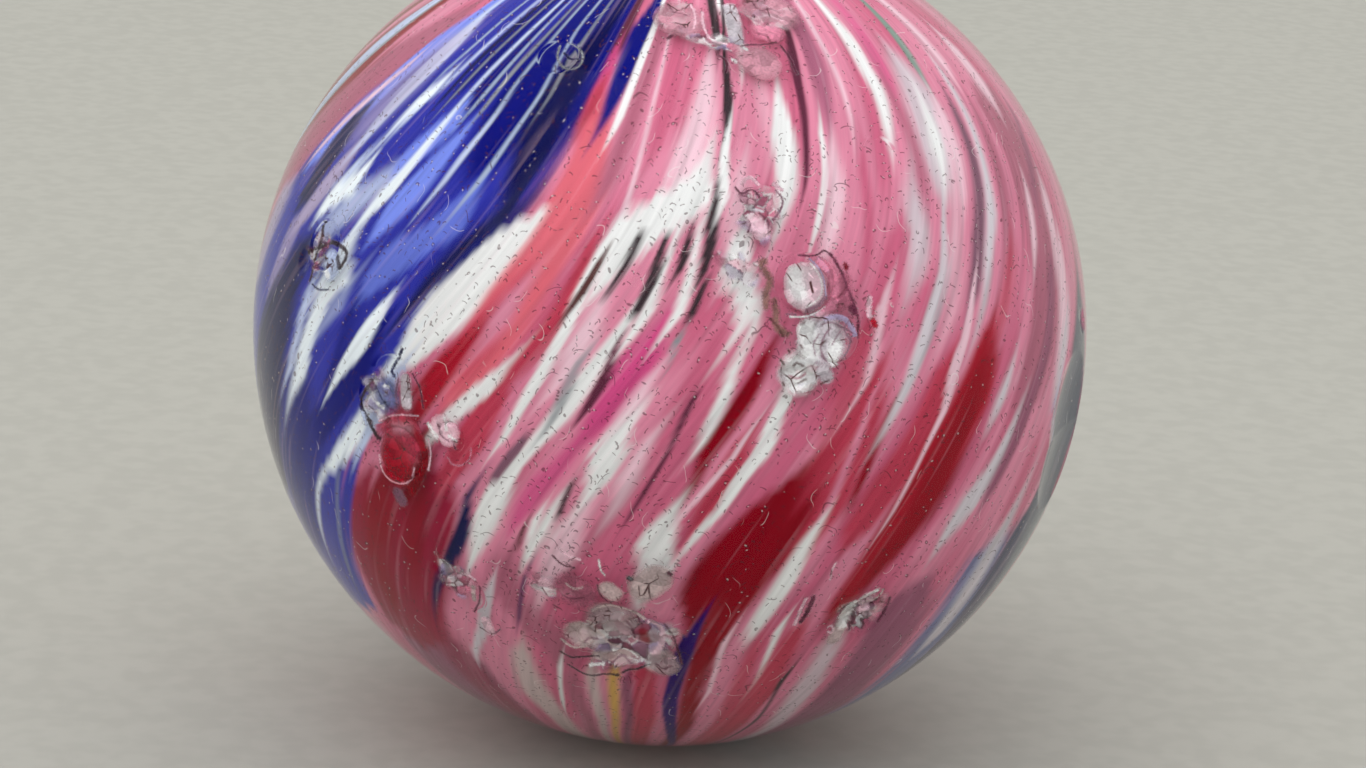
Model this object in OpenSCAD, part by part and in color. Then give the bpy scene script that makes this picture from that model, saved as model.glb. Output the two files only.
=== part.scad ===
// A handmade swirl marble: one ball of glass, chipped and bruised by long play.
// The origin is the ball's centre, and the glass swirls round +Z from pole to pole.
// Every mark is placed by its longitude and latitude in degrees. Longitude is 0 at the
// front (-Y) and grows towards +X, and latitude is 90 at the top pole.
// A mark's depth is how far its floor lies below the circle of its own rim.

/* [Ball] */
// Diameter of the ball
ball_d = 44; // [20:0.5:65]

/* [Pontil marks] */
// Width of the mark at each pole, where the hot glass was cut from its cane
pontil_w = 3.2; // [1.5:0.1:5]
// Depth of each pontil mark
pontil_depth = 0.1; // [0.05:0.01:0.4]

/* [Long chip] */
// Width of the shell-shaped chip on the right side
long_chip_w = 6.4; // [3:0.1:8]
// Depth of that chip
long_chip_depth = 0.22; // [0.1:0.01:0.8]
// Distance between the two bites that make it longer than it is wide
long_chip_step = 2.2; // [0.5:0.1:3]

/* [Crushed chip] */
// Width of the big crushed chip low on the front
crush_w = 5.2; // [3:0.1:7]
// Depth of its floor
crush_depth = 0.16; // [0.1:0.01:0.5]
// Number of small bites around its edge
crush_bites = 7; // [5:1:9]
// Width of the smallest of those bites
crush_bite_w = 1.4; // [0.8:0.1:2]
// How much wider each bite is than the one before it
crush_bite_growth = 0.1; // [0:0.02:0.2]
// Depth of one of those bites
crush_bite_depth = 0.22; // [0.1:0.01:0.5]
// How far the bites' centres lie from the chip's own
crush_bite_reach = 2.2; // [1.5:0.1:3]

/* [Fan chip] */
// Width of the fan-shaped chip low on the right
fan_w = 3.4; // [2:0.1:5]
// Depth of the fan's bowl
fan_depth = 0.14; // [0.08:0.01:0.4]
// Number of grooves in the fan
fan_grooves = 5; // [3:1:7]
// Width of one of those grooves
fan_groove_w = 0.3; // [0.2:0.05:0.5]
// Length of one of those grooves
fan_groove_len = 2; // [1:0.1:3]
// How far the grooves start from the chip's middle
fan_root = 0.9; // [0.2:0.1:1.5]
// Angle that the outer grooves make with each other
fan_angle = 80; // [30:5:140]

/* [Ring moons] */
// Width of the circular crack's groove where it meets the surface
ring_groove_w = 0.24; // [0.15:0.01:0.4]
// Depth of that groove, which is V-shaped as the crack's cone is
ring_groove_depth = 0.14; // [0.05:0.01:0.3]
// Depth of the bruised dish inside each ring
moon_dish_depth = 0.06; // [0.04:0.01:0.2]
// Share of the ring's width that the bruised dish takes
moon_dish_share = 0.6; // [0.3:0.05:0.7]

/* [Small chips] */
// Depth of each small chip
nick_depth = 0.14; // [0.08:0.01:0.3]

/* [Hidden] */
$fn = 96;
glass_rose = [0.80, 0.47, 0.58];
ball_r = ball_d / 2;
top_pole = [0, 90];
foot_pole = [0, -90];
long_chip_place = [71, -6];
crush_place = [-4, -29];
fan_place = [30, -25];

// Ring moons, as [longitude, latitude, width of the ring].
RING_MOONS = [
    [-56, 18, 2.5],
    [-40, 1, 2.2],
    [-36, -5, 2.7],
    [-28, -1, 1.5],
    [18, 22, 3.0],
    [22, 15, 2.4],
    [-26, 51, 2.0]
];

// Cracks that close only part of a ring, as [longitude, latitude, width, start angle, sweep].
ARC_CRACKS = [
    [-28, -24, 2.3, -70, 200],
    [21, 23, 2.6, -80, 150],
    [-38, 5, 2.2, 20, 150],
    [34, 38, 1.8, 10, 140]
];

// Small open chips, as [longitude, latitude, width].
NICKS = [
    [16, 10, 1.6],
    [12, 31, 2.0],
    [9, 34, 1.3],
    [27, 18, 1.2],
    [8, 58, 2.4],
    [14, 56, 1.8],
    [2, 59, 1.6],
    [20, 59, 1.5],
    [-60, 15, 1.2],
    [-31, -20, 1.3],
    [77, 8, 1.4]
];

// Height of a mark's rim above the ball's centre, along the mark's own axis.
function rim_height(width) = sqrt(pow(ball_r, 2) - pow(width / 2, 2));

// Radius of the sphere that cuts a bowl of this width and depth.
function bowl_radius(width, depth) = (pow(width / 2, 2) + pow(depth, 2)) / (2 * depth);

// Turns its children's +Z axis out through a place on the ball.
module at(place) {
    rotate([0, 0, place[0]])
        rotate([90 - place[1], 0, 0])
            children();
}

// A round bowl, as a shell-shaped chip leaves it.
module bowl(width, depth) {
    translate([0, 0, rim_height(width) + bowl_radius(width, depth) - depth])
        sphere(r = bowl_radius(width, depth));
}

// A V-shaped groove along a ring, or along part of one. It is cut from as far above the
// surface as it goes below, so it is twice as wide there.
module ring_groove(width, start = 0, sweep = 360) {
    rim = rim_height(width);
    rotate([0, 0, start])
        rotate_extrude(angle = sweep)
            polygon([
                [width / 2, rim - ring_groove_depth],
                [width / 2 + ring_groove_w, rim + ring_groove_depth],
                [width / 2 - ring_groove_w, rim + ring_groove_depth]
            ]);
}

// A ring-shaped crack with a bruised dish inside it.
module ring_moon(width) {
    ring_groove(width);
    bowl(width * moon_dish_share, moon_dish_depth);
}

// Two overlapping bowls, one above the other.
module long_chip() {
    half_turn = asin(long_chip_step / 2 / ball_r);
    for (side = [-1, 1])
        rotate([side * half_turn, 0, 0])
            bowl(long_chip_w, long_chip_depth);
}

// A flat bowl with small bites round its edge, each wider than the one before.
module crushed_chip() {
    bowl(crush_w, crush_depth);
    edge_turn = asin(crush_bite_reach / ball_r);
    for (i = [0:crush_bites - 1])
        rotate([0, 0, i * 360 / crush_bites])
            rotate([edge_turn, 0, 0])
                bowl(crush_bite_w + i * crush_bite_growth, crush_bite_depth);
}

// A bowl whose floor has grooves that spread from one side, like a fan.
module fan_chip() {
    bowl(fan_w, fan_depth);
    floor_height = rim_height(fan_w) - fan_depth;
    for (i = [0:fan_grooves - 1])
        translate([-fan_root, 0, floor_height])
            rotate([0, 0, i * fan_angle / (fan_grooves - 1) - fan_angle / 2])
                rotate([0, 90, 0])
                    cylinder(d = fan_groove_w, h = fan_groove_len);
}

// The whole marble: one ball, less every mark on it.
module marble() {
    color(glass_rose)
        difference() {
            sphere(d = ball_d);
            for (pole = [top_pole, foot_pole])
                at(pole) bowl(pontil_w, pontil_depth);
            at(long_chip_place) long_chip();
            at(crush_place) crushed_chip();
            at(fan_place) fan_chip();
            for (moon = RING_MOONS)
                at(moon) ring_moon(moon[2]);
            for (crack = ARC_CRACKS)
                at(crack) ring_groove(crack[2], crack[3], crack[4]);
            for (nick = NICKS)
                at(nick) bowl(nick[2], nick_depth);
        }
}

marble();
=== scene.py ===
"""A handmade swirl marble of cased glass, chipped and bruised by play, in a plain studio.

The coloured glass lies in streaks on a core, and a clear casing covers it. The casing holds the
chips, the ring-shaped bruises and the pits. Sizes are in metres. A place on the ball is its
longitude and latitude in degrees: longitude 0 is the front (-Y) and grows towards +X, and
latitude 90 is the top pole, which the glass swirls round.
"""

import logging
import math
from dataclasses import dataclass, field
from enum import Enum
from functools import partial
from typing import Callable

import bmesh
import bpy
import numpy as np
from mathutils import Matrix, Vector


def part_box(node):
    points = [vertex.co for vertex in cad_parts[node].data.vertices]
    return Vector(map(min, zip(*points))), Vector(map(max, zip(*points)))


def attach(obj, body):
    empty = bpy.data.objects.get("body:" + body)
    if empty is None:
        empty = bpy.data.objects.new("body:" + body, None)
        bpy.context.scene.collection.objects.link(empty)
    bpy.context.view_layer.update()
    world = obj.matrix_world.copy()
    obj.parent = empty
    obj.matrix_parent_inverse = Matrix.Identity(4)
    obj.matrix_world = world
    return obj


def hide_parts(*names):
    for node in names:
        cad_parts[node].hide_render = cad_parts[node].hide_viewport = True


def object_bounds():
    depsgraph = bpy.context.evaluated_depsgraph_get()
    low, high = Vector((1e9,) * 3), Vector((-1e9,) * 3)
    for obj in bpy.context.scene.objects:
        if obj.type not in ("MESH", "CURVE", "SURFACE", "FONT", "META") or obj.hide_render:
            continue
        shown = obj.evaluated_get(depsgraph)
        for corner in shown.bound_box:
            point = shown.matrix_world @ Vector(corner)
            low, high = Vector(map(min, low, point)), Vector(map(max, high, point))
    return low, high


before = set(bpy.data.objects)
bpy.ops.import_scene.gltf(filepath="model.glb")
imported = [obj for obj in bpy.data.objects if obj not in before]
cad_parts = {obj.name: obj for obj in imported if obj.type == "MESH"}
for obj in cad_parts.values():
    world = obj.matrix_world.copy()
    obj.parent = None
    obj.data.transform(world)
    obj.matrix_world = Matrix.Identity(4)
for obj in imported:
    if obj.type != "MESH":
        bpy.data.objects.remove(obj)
CAD_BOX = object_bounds()

log = logging.getLogger("marble")

MM = 0.001
NODE = "marble"
FULL_TURN = 360.0
SRGB_TOP = 255.0
CONTAINED = 0.9997  # the casing is this much of the ball, so that it stays inside the solid's box
BALL_R = CONTAINED * (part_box(NODE)[1].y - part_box(NODE)[0].y) / 2


def linear(red: float, green: float, blue: float) -> tuple[float, float, float]:
    """Turns a colour from screen values to linear light.

    Args:
        red: Red from 0 to 255.
        green: Green from 0 to 255.
        blue: Blue from 0 to 255.

    Returns:
        The colour in linear light, each part from 0 to 1.
    """
    parts = (value / SRGB_TOP for value in (red, green, blue))
    return tuple(v / 12.92 if v <= 0.04045 else ((v + 0.055) / 1.055) ** 2.4 for v in parts)


class Glass(Enum):
    """The glass colours that the maker's canes hold, as seen on screen in full light."""

    WHITE = (238, 239, 239)
    ICE = (240, 249, 255)
    SHADE_WHITE = (214, 206, 214)
    PALE_PINK = (240, 200, 214)
    PINK = (222, 136, 163)
    ROSE = (206, 102, 134)
    DUSTY_ROSE = (178, 100, 124)
    MAGENTA = (212, 78, 136)
    CORAL = (222, 104, 120)
    ROSE_RED = (190, 62, 86)
    RED = (168, 20, 42)
    DARK_RED = (140, 4, 26)
    CRIMSON = (150, 26, 58)
    MAROON = (98, 44, 66)
    MAUVE = (152, 84, 112)
    GREY_MAUVE = (134, 92, 112)
    LILAC = (174, 160, 194)
    LAVENDER = (122, 142, 238)
    PALE_BLUE = (196, 208, 238)
    BLUE = (46, 50, 162)
    DEEP_BLUE = (8, 14, 118)
    NIGHT_BLUE = (0, 2, 72)
    NAVY = (26, 28, 78)
    PURPLE = (44, 6, 104)
    BLUE_GREY = (108, 116, 162)
    STEEL = (160, 174, 200)
    BLUSH = (242, 222, 230)
    GREY = (142, 146, 152)
    SMOKE = (80, 86, 102)
    ASH = (206, 184, 184)
    DIM_ASH = (178, 152, 158)
    SLIT = (60, 48, 54)
    BROWN = (92, 56, 56)
    TAN = (150, 112, 104)
    ROSE_ASH = (204, 146, 162)
    GREY_GREEN = (126, 148, 138)
    YELLOW = (216, 170, 92)

    def light(self) -> np.ndarray:
        """The colour in linear light."""
        return np.array(linear(*self.value))


def twist(lat: np.ndarray) -> np.ndarray:
    """How far round the axis the hot glass was turned, by latitude.

    The turn is slow near the poles and fastest just above the middle, where it runs down and
    to the left on the side that faces the viewer.

    Args:
        lat: Latitude in degrees.

    Returns:
        The turn in degrees of longitude.
    """
    slow, fast, middle, spread = 12.0, 16.0, 8.0, 32.0
    return slow * np.sin(np.radians(lat)) + fast * np.tanh((lat - middle) / spread)


def wrapped(angle: np.ndarray) -> np.ndarray:
    """The same angle in degrees, from -180 to 180."""
    return (angle + FULL_TURN / 2) % FULL_TURN - FULL_TURN / 2


def ramp(value: np.ndarray, start: float, end: float) -> np.ndarray:
    """Rises smoothly from 0 at start to 1 at end, or falls if end is the lower."""
    t = np.clip((value - start) / (end - start), 0.0, 1.0)
    return t * t * (3.0 - 2.0 * t)


def directions(lon: np.ndarray, lat: np.ndarray) -> np.ndarray:
    """Unit vectors out through places on the ball, one row each."""
    lo, la = np.radians(lon), np.radians(lat)
    return np.stack([np.cos(la) * np.sin(lo), -np.cos(la) * np.cos(lo), np.sin(la)], axis=-1)


def places(units: np.ndarray) -> tuple[np.ndarray, np.ndarray]:
    """Longitude and latitude in degrees of unit vectors."""
    lon = np.degrees(np.arctan2(units[:, 0], -units[:, 1]))
    lat = np.degrees(np.arcsin(np.clip(units[:, 2], -1.0, 1.0)))
    return lon, lat


@dataclass
class FlowNoise:
    """Smooth random values that stretch along the streaks and meet at the back.

    Attributes:
        across: Size of a fleck across the flow, in degrees.
        along: Size of a fleck along the flow, in degrees of latitude.
        seed: Start of the random draw.
    """

    across: float
    along: float
    seed: int

    def __call__(self, flow: np.ndarray, lat: np.ndarray) -> np.ndarray:
        """Reads the noise.

        Args:
            flow: Longitude with the twist taken off, in degrees.
            lat: Latitude in degrees.

        Returns:
            Values from -1 to 1.
        """
        columns = max(3, round(FULL_TURN / self.across))
        rows = max(3, round(FULL_TURN / 2 / self.along)) + 2
        table = np.random.default_rng(self.seed).uniform(-1.0, 1.0, (rows, columns))
        x = (flow % FULL_TURN) / FULL_TURN * columns
        y = (lat + FULL_TURN / 4) / (FULL_TURN / 2) * (rows - 2)
        left, low = np.floor(x).astype(int), np.floor(y).astype(int)
        fx, fy = x - left, y - low
        fx, fy = fx * fx * (3 - 2 * fx), fy * fy * (3 - 2 * fy)
        right = (left + 1) % columns
        left = left % columns
        high = np.clip(low + 1, 0, rows - 1)
        bottom = table[low, left] * (1 - fx) + table[low, right] * fx
        top = table[high, left] * (1 - fx) + table[high, right] * fx
        return bottom * (1 - fy) + top * fy


@dataclass(frozen=True)
class Streak:
    """One streak of coloured glass, drawn out along the flow.

    Attributes:
        glass: Its colour.
        path: Points down its middle, as (longitude, latitude, width), all in degrees.
        soft: How far its sides blend into what is under it, in degrees.
        rag: How far its outline frays, as a share of its width.
        tail: How far it runs on to a point past each end, in degrees of latitude.
        full: How much of what is under it it hides.
    """

    glass: Glass
    path: tuple[tuple[float, float, float], ...]
    soft: float = 0.75
    rag: float = 0.35
    tail: float = 3.5
    full: float = 1.0

    RUN_ON_TOP = 53.0
    RUN_ON_FOOT = -47.0

    def cover(self, flow: np.ndarray, lat: np.ndarray, fray: np.ndarray) -> np.ndarray:
        """Works out how strongly the streak covers each place.

        Args:
            flow: Longitude with the twist taken off, in degrees.
            lat: Latitude in degrees.
            fray: Noise that roughens the outline, from -1 to 1.

        Returns:
            The cover from 0 to 1.
        """
        lon_at, lat_at, width_at = np.array(sorted(self.path, key=lambda p: p[1])).T
        middle = np.interp(lat, lat_at, lon_at - twist(lat_at))
        width = np.interp(lat, lat_at, width_at)
        above = np.clip(lat - lat_at[-1], 0.0, None)
        below = np.clip(lat_at[0] - lat, 0.0, None)
        if lat_at[-1] > self.RUN_ON_TOP:
            above = np.zeros_like(above)
        if lat_at[0] < self.RUN_ON_FOOT:
            below = np.zeros_like(below)
        taper = 1.0 - (above + below) / self.tail
        side = width / 2 * taper - np.abs(wrapped(flow - middle))
        side = side + fray * self.rag * (width / 2 + 0.3)
        return self.full * ramp(side, -self.soft, self.soft)


def streak(glass: Glass, *path: tuple[float, float, float], **style: float) -> Streak:
    """A streak of this glass along these points, with any style values."""
    return Streak(glass, tuple(path), **style)


def wide_fields() -> list[Streak]:
    """The broad fields of colour that the finer streaks lie on."""
    soft = {"soft": 1.6, "rag": 0.06, "tail": 8.0}
    return [
        streak(Glass.DUSTY_ROSE, (-63, 50, 12), (-74, 35, 12), (-84, 22, 12), **soft),
        streak(Glass.BLUE, (-36, 56, 42), (-40, 45, 46), (-44.5, 35, 49), (-49.5, 27, 51),
               (-55, 18, 50), (-60, 8, 48), (-65, -5, 42), (-70, -20, 40), (-74, -35, 42), **soft),
        streak(Glass.DEEP_BLUE, (-26, 57, 14), (-28, 49, 17), (-29.5, 42, 13), (-32, 35, 7),
               soft=2.2, rag=0.1),
        streak(Glass.DEEP_BLUE, (-50, 12, 8), (-54, 2, 13), (-58, -7, 13), (-62, -16, 12),
               (-66, -26, 9), soft=2.2, rag=0.1, full=0.8),
        streak(Glass.MAUVE, (-40, -40, 20), (-38, -55, 20), **soft),
        streak(Glass.CRIMSON, (-35, -8, 14), (-38, -14, 20), (-39.5, -20, 21), (-42, -28, 18),
               (-44, -37, 14), soft=1.4, rag=0.1),
        streak(Glass.CORAL, (-14, 40, 4), (-16, 30, 7), (-20, 20, 8), (-25, 10, 6), (-28, 5, 4),
               soft=1.6),
        streak(Glass.PINK, (-4, 42, 8), (-2, 36, 10), (-6, 22, 12), (-10, 12, 10), (-12, 2, 8),
               soft=2.0),
        streak(Glass.PINK, (28, 52, 8), (29, 40, 8), (27, 28, 9), (22, 18, 6), soft=1.6),
        streak(Glass.DUSTY_ROSE, (72, 42, 12), (70, 30, 12), (64, 15, 10), (56, 2, 8), soft=2.0),
        streak(Glass.DARK_RED, (23.4, 2, 3), (21, -2.5, 8.5), (18, -6.5, 12), (13.4, -12, 13),
               (10, -17, 12), (8.4, -21, 11), (8, -26, 7), (8, -34, 5), (7.5, -52, 4),
               soft=1.1, rag=0.12),
        streak(Glass.ROSE_RED, (39, 9, 4), (35.6, 1, 6.5), (31.6, -4, 7), (27, -11, 5), soft=1.4,
               rag=0.15),
        streak(Glass.RED, (47.5, 12, 4), (46.4, 9, 6), (43.4, 4, 8), (39.6, -1, 8.6), (36.6, -7, 8.8),
               (33.6, -12, 8), (30.6, -17, 6), (27, -23, 4), soft=1.2, rag=0.15),
        streak(Glass.MAUVE, (40, -24, 9), (40, -36, 10), (41, -50, 10), soft=2.0),
        streak(Glass.BLUE_GREY, (55, -20, 9), (54, -34, 12), (54, -50, 12), soft=2.0),
        streak(Glass.NAVY, (64, -17, 8), (63, -25, 9), (62, -34, 9), (62, -50, 8), soft=1.6),
        streak(Glass.SMOKE, (78, 12, 3), (76, 6, 9), (74.5, -2, 15), (73.6, -8, 18), (72, -14, 16),
               (70, -19, 11), (68, -28, 5), (66, -40, 3),
               soft=1.6, rag=0.1),
        streak(Glass.BLUE_GREY, (86, -10, 3), (83, -19, 9), (80, -30, 12), (78, -45, 8), soft=2.5,
               tail=10.0),
    ]


def left_high() -> list[Streak]:
    """The fan of blues and whites, high on the left."""
    g = Glass
    return [
        streak(g.LAVENDER, (-56, 57, 4), (-61, 45, 5), (-65, 37, 5), (-71, 28, 4)),
        streak(g.NAVY, (-65, 35, 3), (-66, 30, 5), (-68, 22, 4.5)),
        streak(g.LILAC, (-60, 31, 2), (-62, 27, 4), (-66, 20, 3)),
        streak(g.PALE_PINK, (-62, 44, 1), (-67, 36, 1.4), (-72, 28, 1), soft=0.4),
        streak(g.PALE_BLUE, (-55, 57, 1.5), (-55, 47, 5), (-57, 40, 4), (-59, 33, 1.5)),
        streak(g.LILAC, (-56, 50, 6), (-58, 42, 8), (-61, 34, 5), soft=3.0, full=0.6),
        streak(g.PALE_BLUE, (-46, 33, 1.6), (-50, 28, 5), (-54, 24, 7), (-58, 20, 5), soft=1.8,
               rag=0.5, full=0.75),
        streak(g.BLUE, (-48, 58, 4), (-50, 50, 4), (-51, 45, 3)),
        streak(g.DEEP_BLUE, (-40, 58, 3), (-42, 50, 4), (-44, 44, 2.5)),
        streak(g.DEEP_BLUE, (-37, 56, 2.5), (-38.5, 49, 3.5), (-39.5, 42, 3.5)),
        streak(g.LAVENDER, (-42, 39, 4), (-45, 34, 5), (-47, 31, 3)),
        streak(g.LAVENDER, (-38.5, 37, 2), (-41, 32, 4), (-44, 27, 5), (-46, 23, 3)),
        streak(g.LAVENDER, (-32, 30, 3), (-35, 25, 6), (-40, 21, 7), (-44, 16, 4), full=0.6),
        streak(g.PALE_BLUE, (-44, 57, 0.7), (-46, 50, 0.9), (-48, 44, 1.2), (-51, 40, 2.5),
               (-54, 34, 1.6), (-57, 29, 2.5), (-59, 25.5, 3.5), soft=0.8, rag=0.6),
        streak(g.ICE, (-49.5, 44, 1.6), (-51, 41, 3), (-53, 37, 1.4), soft=0.9, rag=0.6),
        streak(g.ICE, (-55.5, 28.5, 2.5), (-57.5, 25.5, 5), (-60, 23, 3), soft=0.6),
        streak(g.NAVY, (-42, 58, 1.2), (-45, 48, 1.4), (-46.5, 42, 1), soft=0.4),
        streak(g.STEEL, (-34.6, 58, 0.5), (-37, 48, 0.6), (-38.4, 43, 0.5), soft=0.35),
        streak(g.STEEL, (-47.4, 57, 0.6), (-49, 50, 0.7), (-51, 45, 0.6), soft=0.35),
        streak(g.GREY, (-40, 58, 0.5), (-42.6, 49, 0.6), (-44.4, 43, 0.5), soft=0.35),
        streak(g.PALE_BLUE, (-37, 58, 0.7), (-40, 48, 0.9), (-42, 42, 0.8), (-44, 36, 1.4),
               soft=0.4),
        streak(g.ICE, (-43.6, 37, 0.9), (-46, 31, 2.2), (-48, 27, 4), (-50, 24, 2), soft=0.8,
               rag=0.6),
        streak(g.NIGHT_BLUE, (-18, 58, 6), (-20, 52, 9), (-22, 45, 11), (-23.5, 39, 8.5),
               (-25, 33, 4), soft=1.6, rag=0.15),
        streak(g.DEEP_BLUE, (-28, 57, 3), (-29, 48, 4), (-30.5, 42, 3.5)),
        streak(g.STEEL, (-30, 60, 0.6), (-33, 46, 0.8), (-34, 40, 0.8), soft=0.4),
        streak(g.PALE_BLUE, (-33.8, 41, 0.7), (-36, 35, 1.1), (-37.5, 31, 0.8), soft=0.5, rag=0.6),
        streak(g.GREY, (-32, 59, 0.7), (-35, 48, 0.9), (-36.5, 42, 0.7), soft=0.35),
        streak(g.STEEL, (-26.5, 57, 0.5), (-27, 45, 0.6), (-28.5, 40, 0.7), (-31, 33, 0.9),
               (-33, 29, 0.5), soft=0.4),
        streak(g.GREY, (-23, 58, 0.6), (-24.5, 50, 0.7), (-25, 45, 0.5), soft=0.3, full=0.7),
        streak(g.NAVY, (-23.5, 34, 1.6), (-26, 28, 2), (-30, 24, 1.8), (-34, 19, 1.2),
               (-38, 13, 0.8), soft=0.6),
        streak(g.NAVY, (-22, 31, 2), (-26.4, 27, 5), (-30.6, 22, 5), (-34.6, 17, 3), soft=1.8,
               full=0.75),
        streak(g.WHITE, (-17.5, 31, 1), (-23, 26, 6), (-26.2, 21.5, 8), (-30, 16.5, 8),
               (-33, 12, 7), (-36, 7.5, 4), soft=0.6, rag=0.22, tail=2.5),
        streak(g.CORAL, (-18.4, 28, 2), (-19.4, 23.5, 5.4), (-22.4, 18, 6), (-25, 14, 4), soft=1.6),
        streak(g.ROSE_RED, (-22.6, 18, 2), (-24.8, 13.6, 4), (-28.6, 9, 3), soft=1.6),
    ]


def left_low() -> list[Streak]:
    """The blues, whites and reds at the middle and foot of the left side."""
    g = Glass
    return [
        streak(g.LILAC, (-68, 18, 4), (-70, 10, 4), full=0.7),
        streak(g.LILAC, (-78, 20, 6), (-82, 8, 6), soft=2.0),
        streak(g.NAVY, (-63, 16, 5), (-66, 8, 10), (-69, 0, 13), (-72, -8, 14), (-76, -20, 14),
               soft=2.0),
        streak(g.ICE, (-52, 19, 3), (-52.6, 14, 6.4), (-53.8, 9, 7.6), (-55.6, 4, 5.4),
               (-58, 0, 3), (-60.5, -4, 1.6), soft=1.2, rag=0.6),
        streak(g.PALE_BLUE, (-58, 12, 1.4), (-59, 6, 2), (-61, 0, 1.4), soft=0.8, rag=0.6),
        streak(g.DEEP_BLUE, (-42, 10, 2), (-45, 4, 4.5), (-49, -1, 6), (-52, -6, 4)),
        streak(g.BLUE, (-50, 12, 4), (-52.5, 4, 5), (-54, -2, 4)),
        streak(g.ICE, (-42, 13, 1.6), (-44, 10, 3), (-46, 6.5, 3), (-48.5, 2.5, 1.2),
               soft=0.4, rag=0.6),
        streak(g.PALE_BLUE, (-49.5, 14, 1), (-51, 11, 2.2), (-53, 8, 1), soft=1.0, full=0.5),
        streak(g.DEEP_BLUE, (-57, -3, 4), (-60, -9, 7), (-64, -17, 7), (-67, -24, 5), soft=1.6),
        streak(g.BLUE, (-44, -6, 1.2), (-47, -12, 2.2), (-49, -17, 2), (-51, -23, 1.2)),
        streak(g.ICE, (-37, 9, 1), (-40, 3, 2.8), (-42, -1, 3.4), (-45, -5, 3.8), (-48.5, -9, 3.8),
               (-53, -12.5, 1.5), (-56, -16, 1), (-59, -22, 0.7), soft=0.8),
        streak(g.BLUE_GREY, (-49.5, -12, 0.8), (-52, -19, 1.2), (-55, -28, 1), soft=0.4),
        streak(g.DARK_RED, (-40, -10, 3), (-41.5, -14, 6), (-43.5, -21, 6), (-45, -30, 4),
               soft=1.6, full=0.8),
        streak(g.DARK_RED, (-33, -7, 2), (-34, -12, 3.4), (-36, -18, 3.4), (-38.5, -26, 3),
               soft=1.4, full=0.7),
        streak(g.NAVY, (-26, -9, 1), (-27, -14, 2.2), (-29, -18, 2.4), (-33, -24, 1.6),
               (-36, -30, 1), soft=0.6),
        streak(g.RED, (-27, 12, 2), (-30, 8, 3.4), (-33, 3, 4), (-36, -1, 3.5), soft=1.1),
        streak(g.DARK_RED, (-32.5, -2, 1.6), (-33.5, -6, 2.4), (-35, -10, 1.6), soft=0.6),
        streak(g.PINK, (-37, -1, 2.4), (-39, -5, 2.6), (-40.5, -8, 1.5), soft=0.8, full=0.7),
        streak(g.PALE_BLUE, (-37, 6, 1.6), (-40, 1.5, 3), (-42.5, -4, 1.6), soft=0.6, rag=0.9),
        streak(g.ROSE_RED, (-21, 9, 2), (-23, 4, 3.4), (-26, -2, 4), (-29, -7, 2.6)),
        streak(g.WHITE, (-18, 13, 1), (-21, 9, 2.4), (-25, 5, 2.8), (-28, 2, 2.4), (-31.5, -2, 1.4),
               soft=0.45),
    ]


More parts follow.
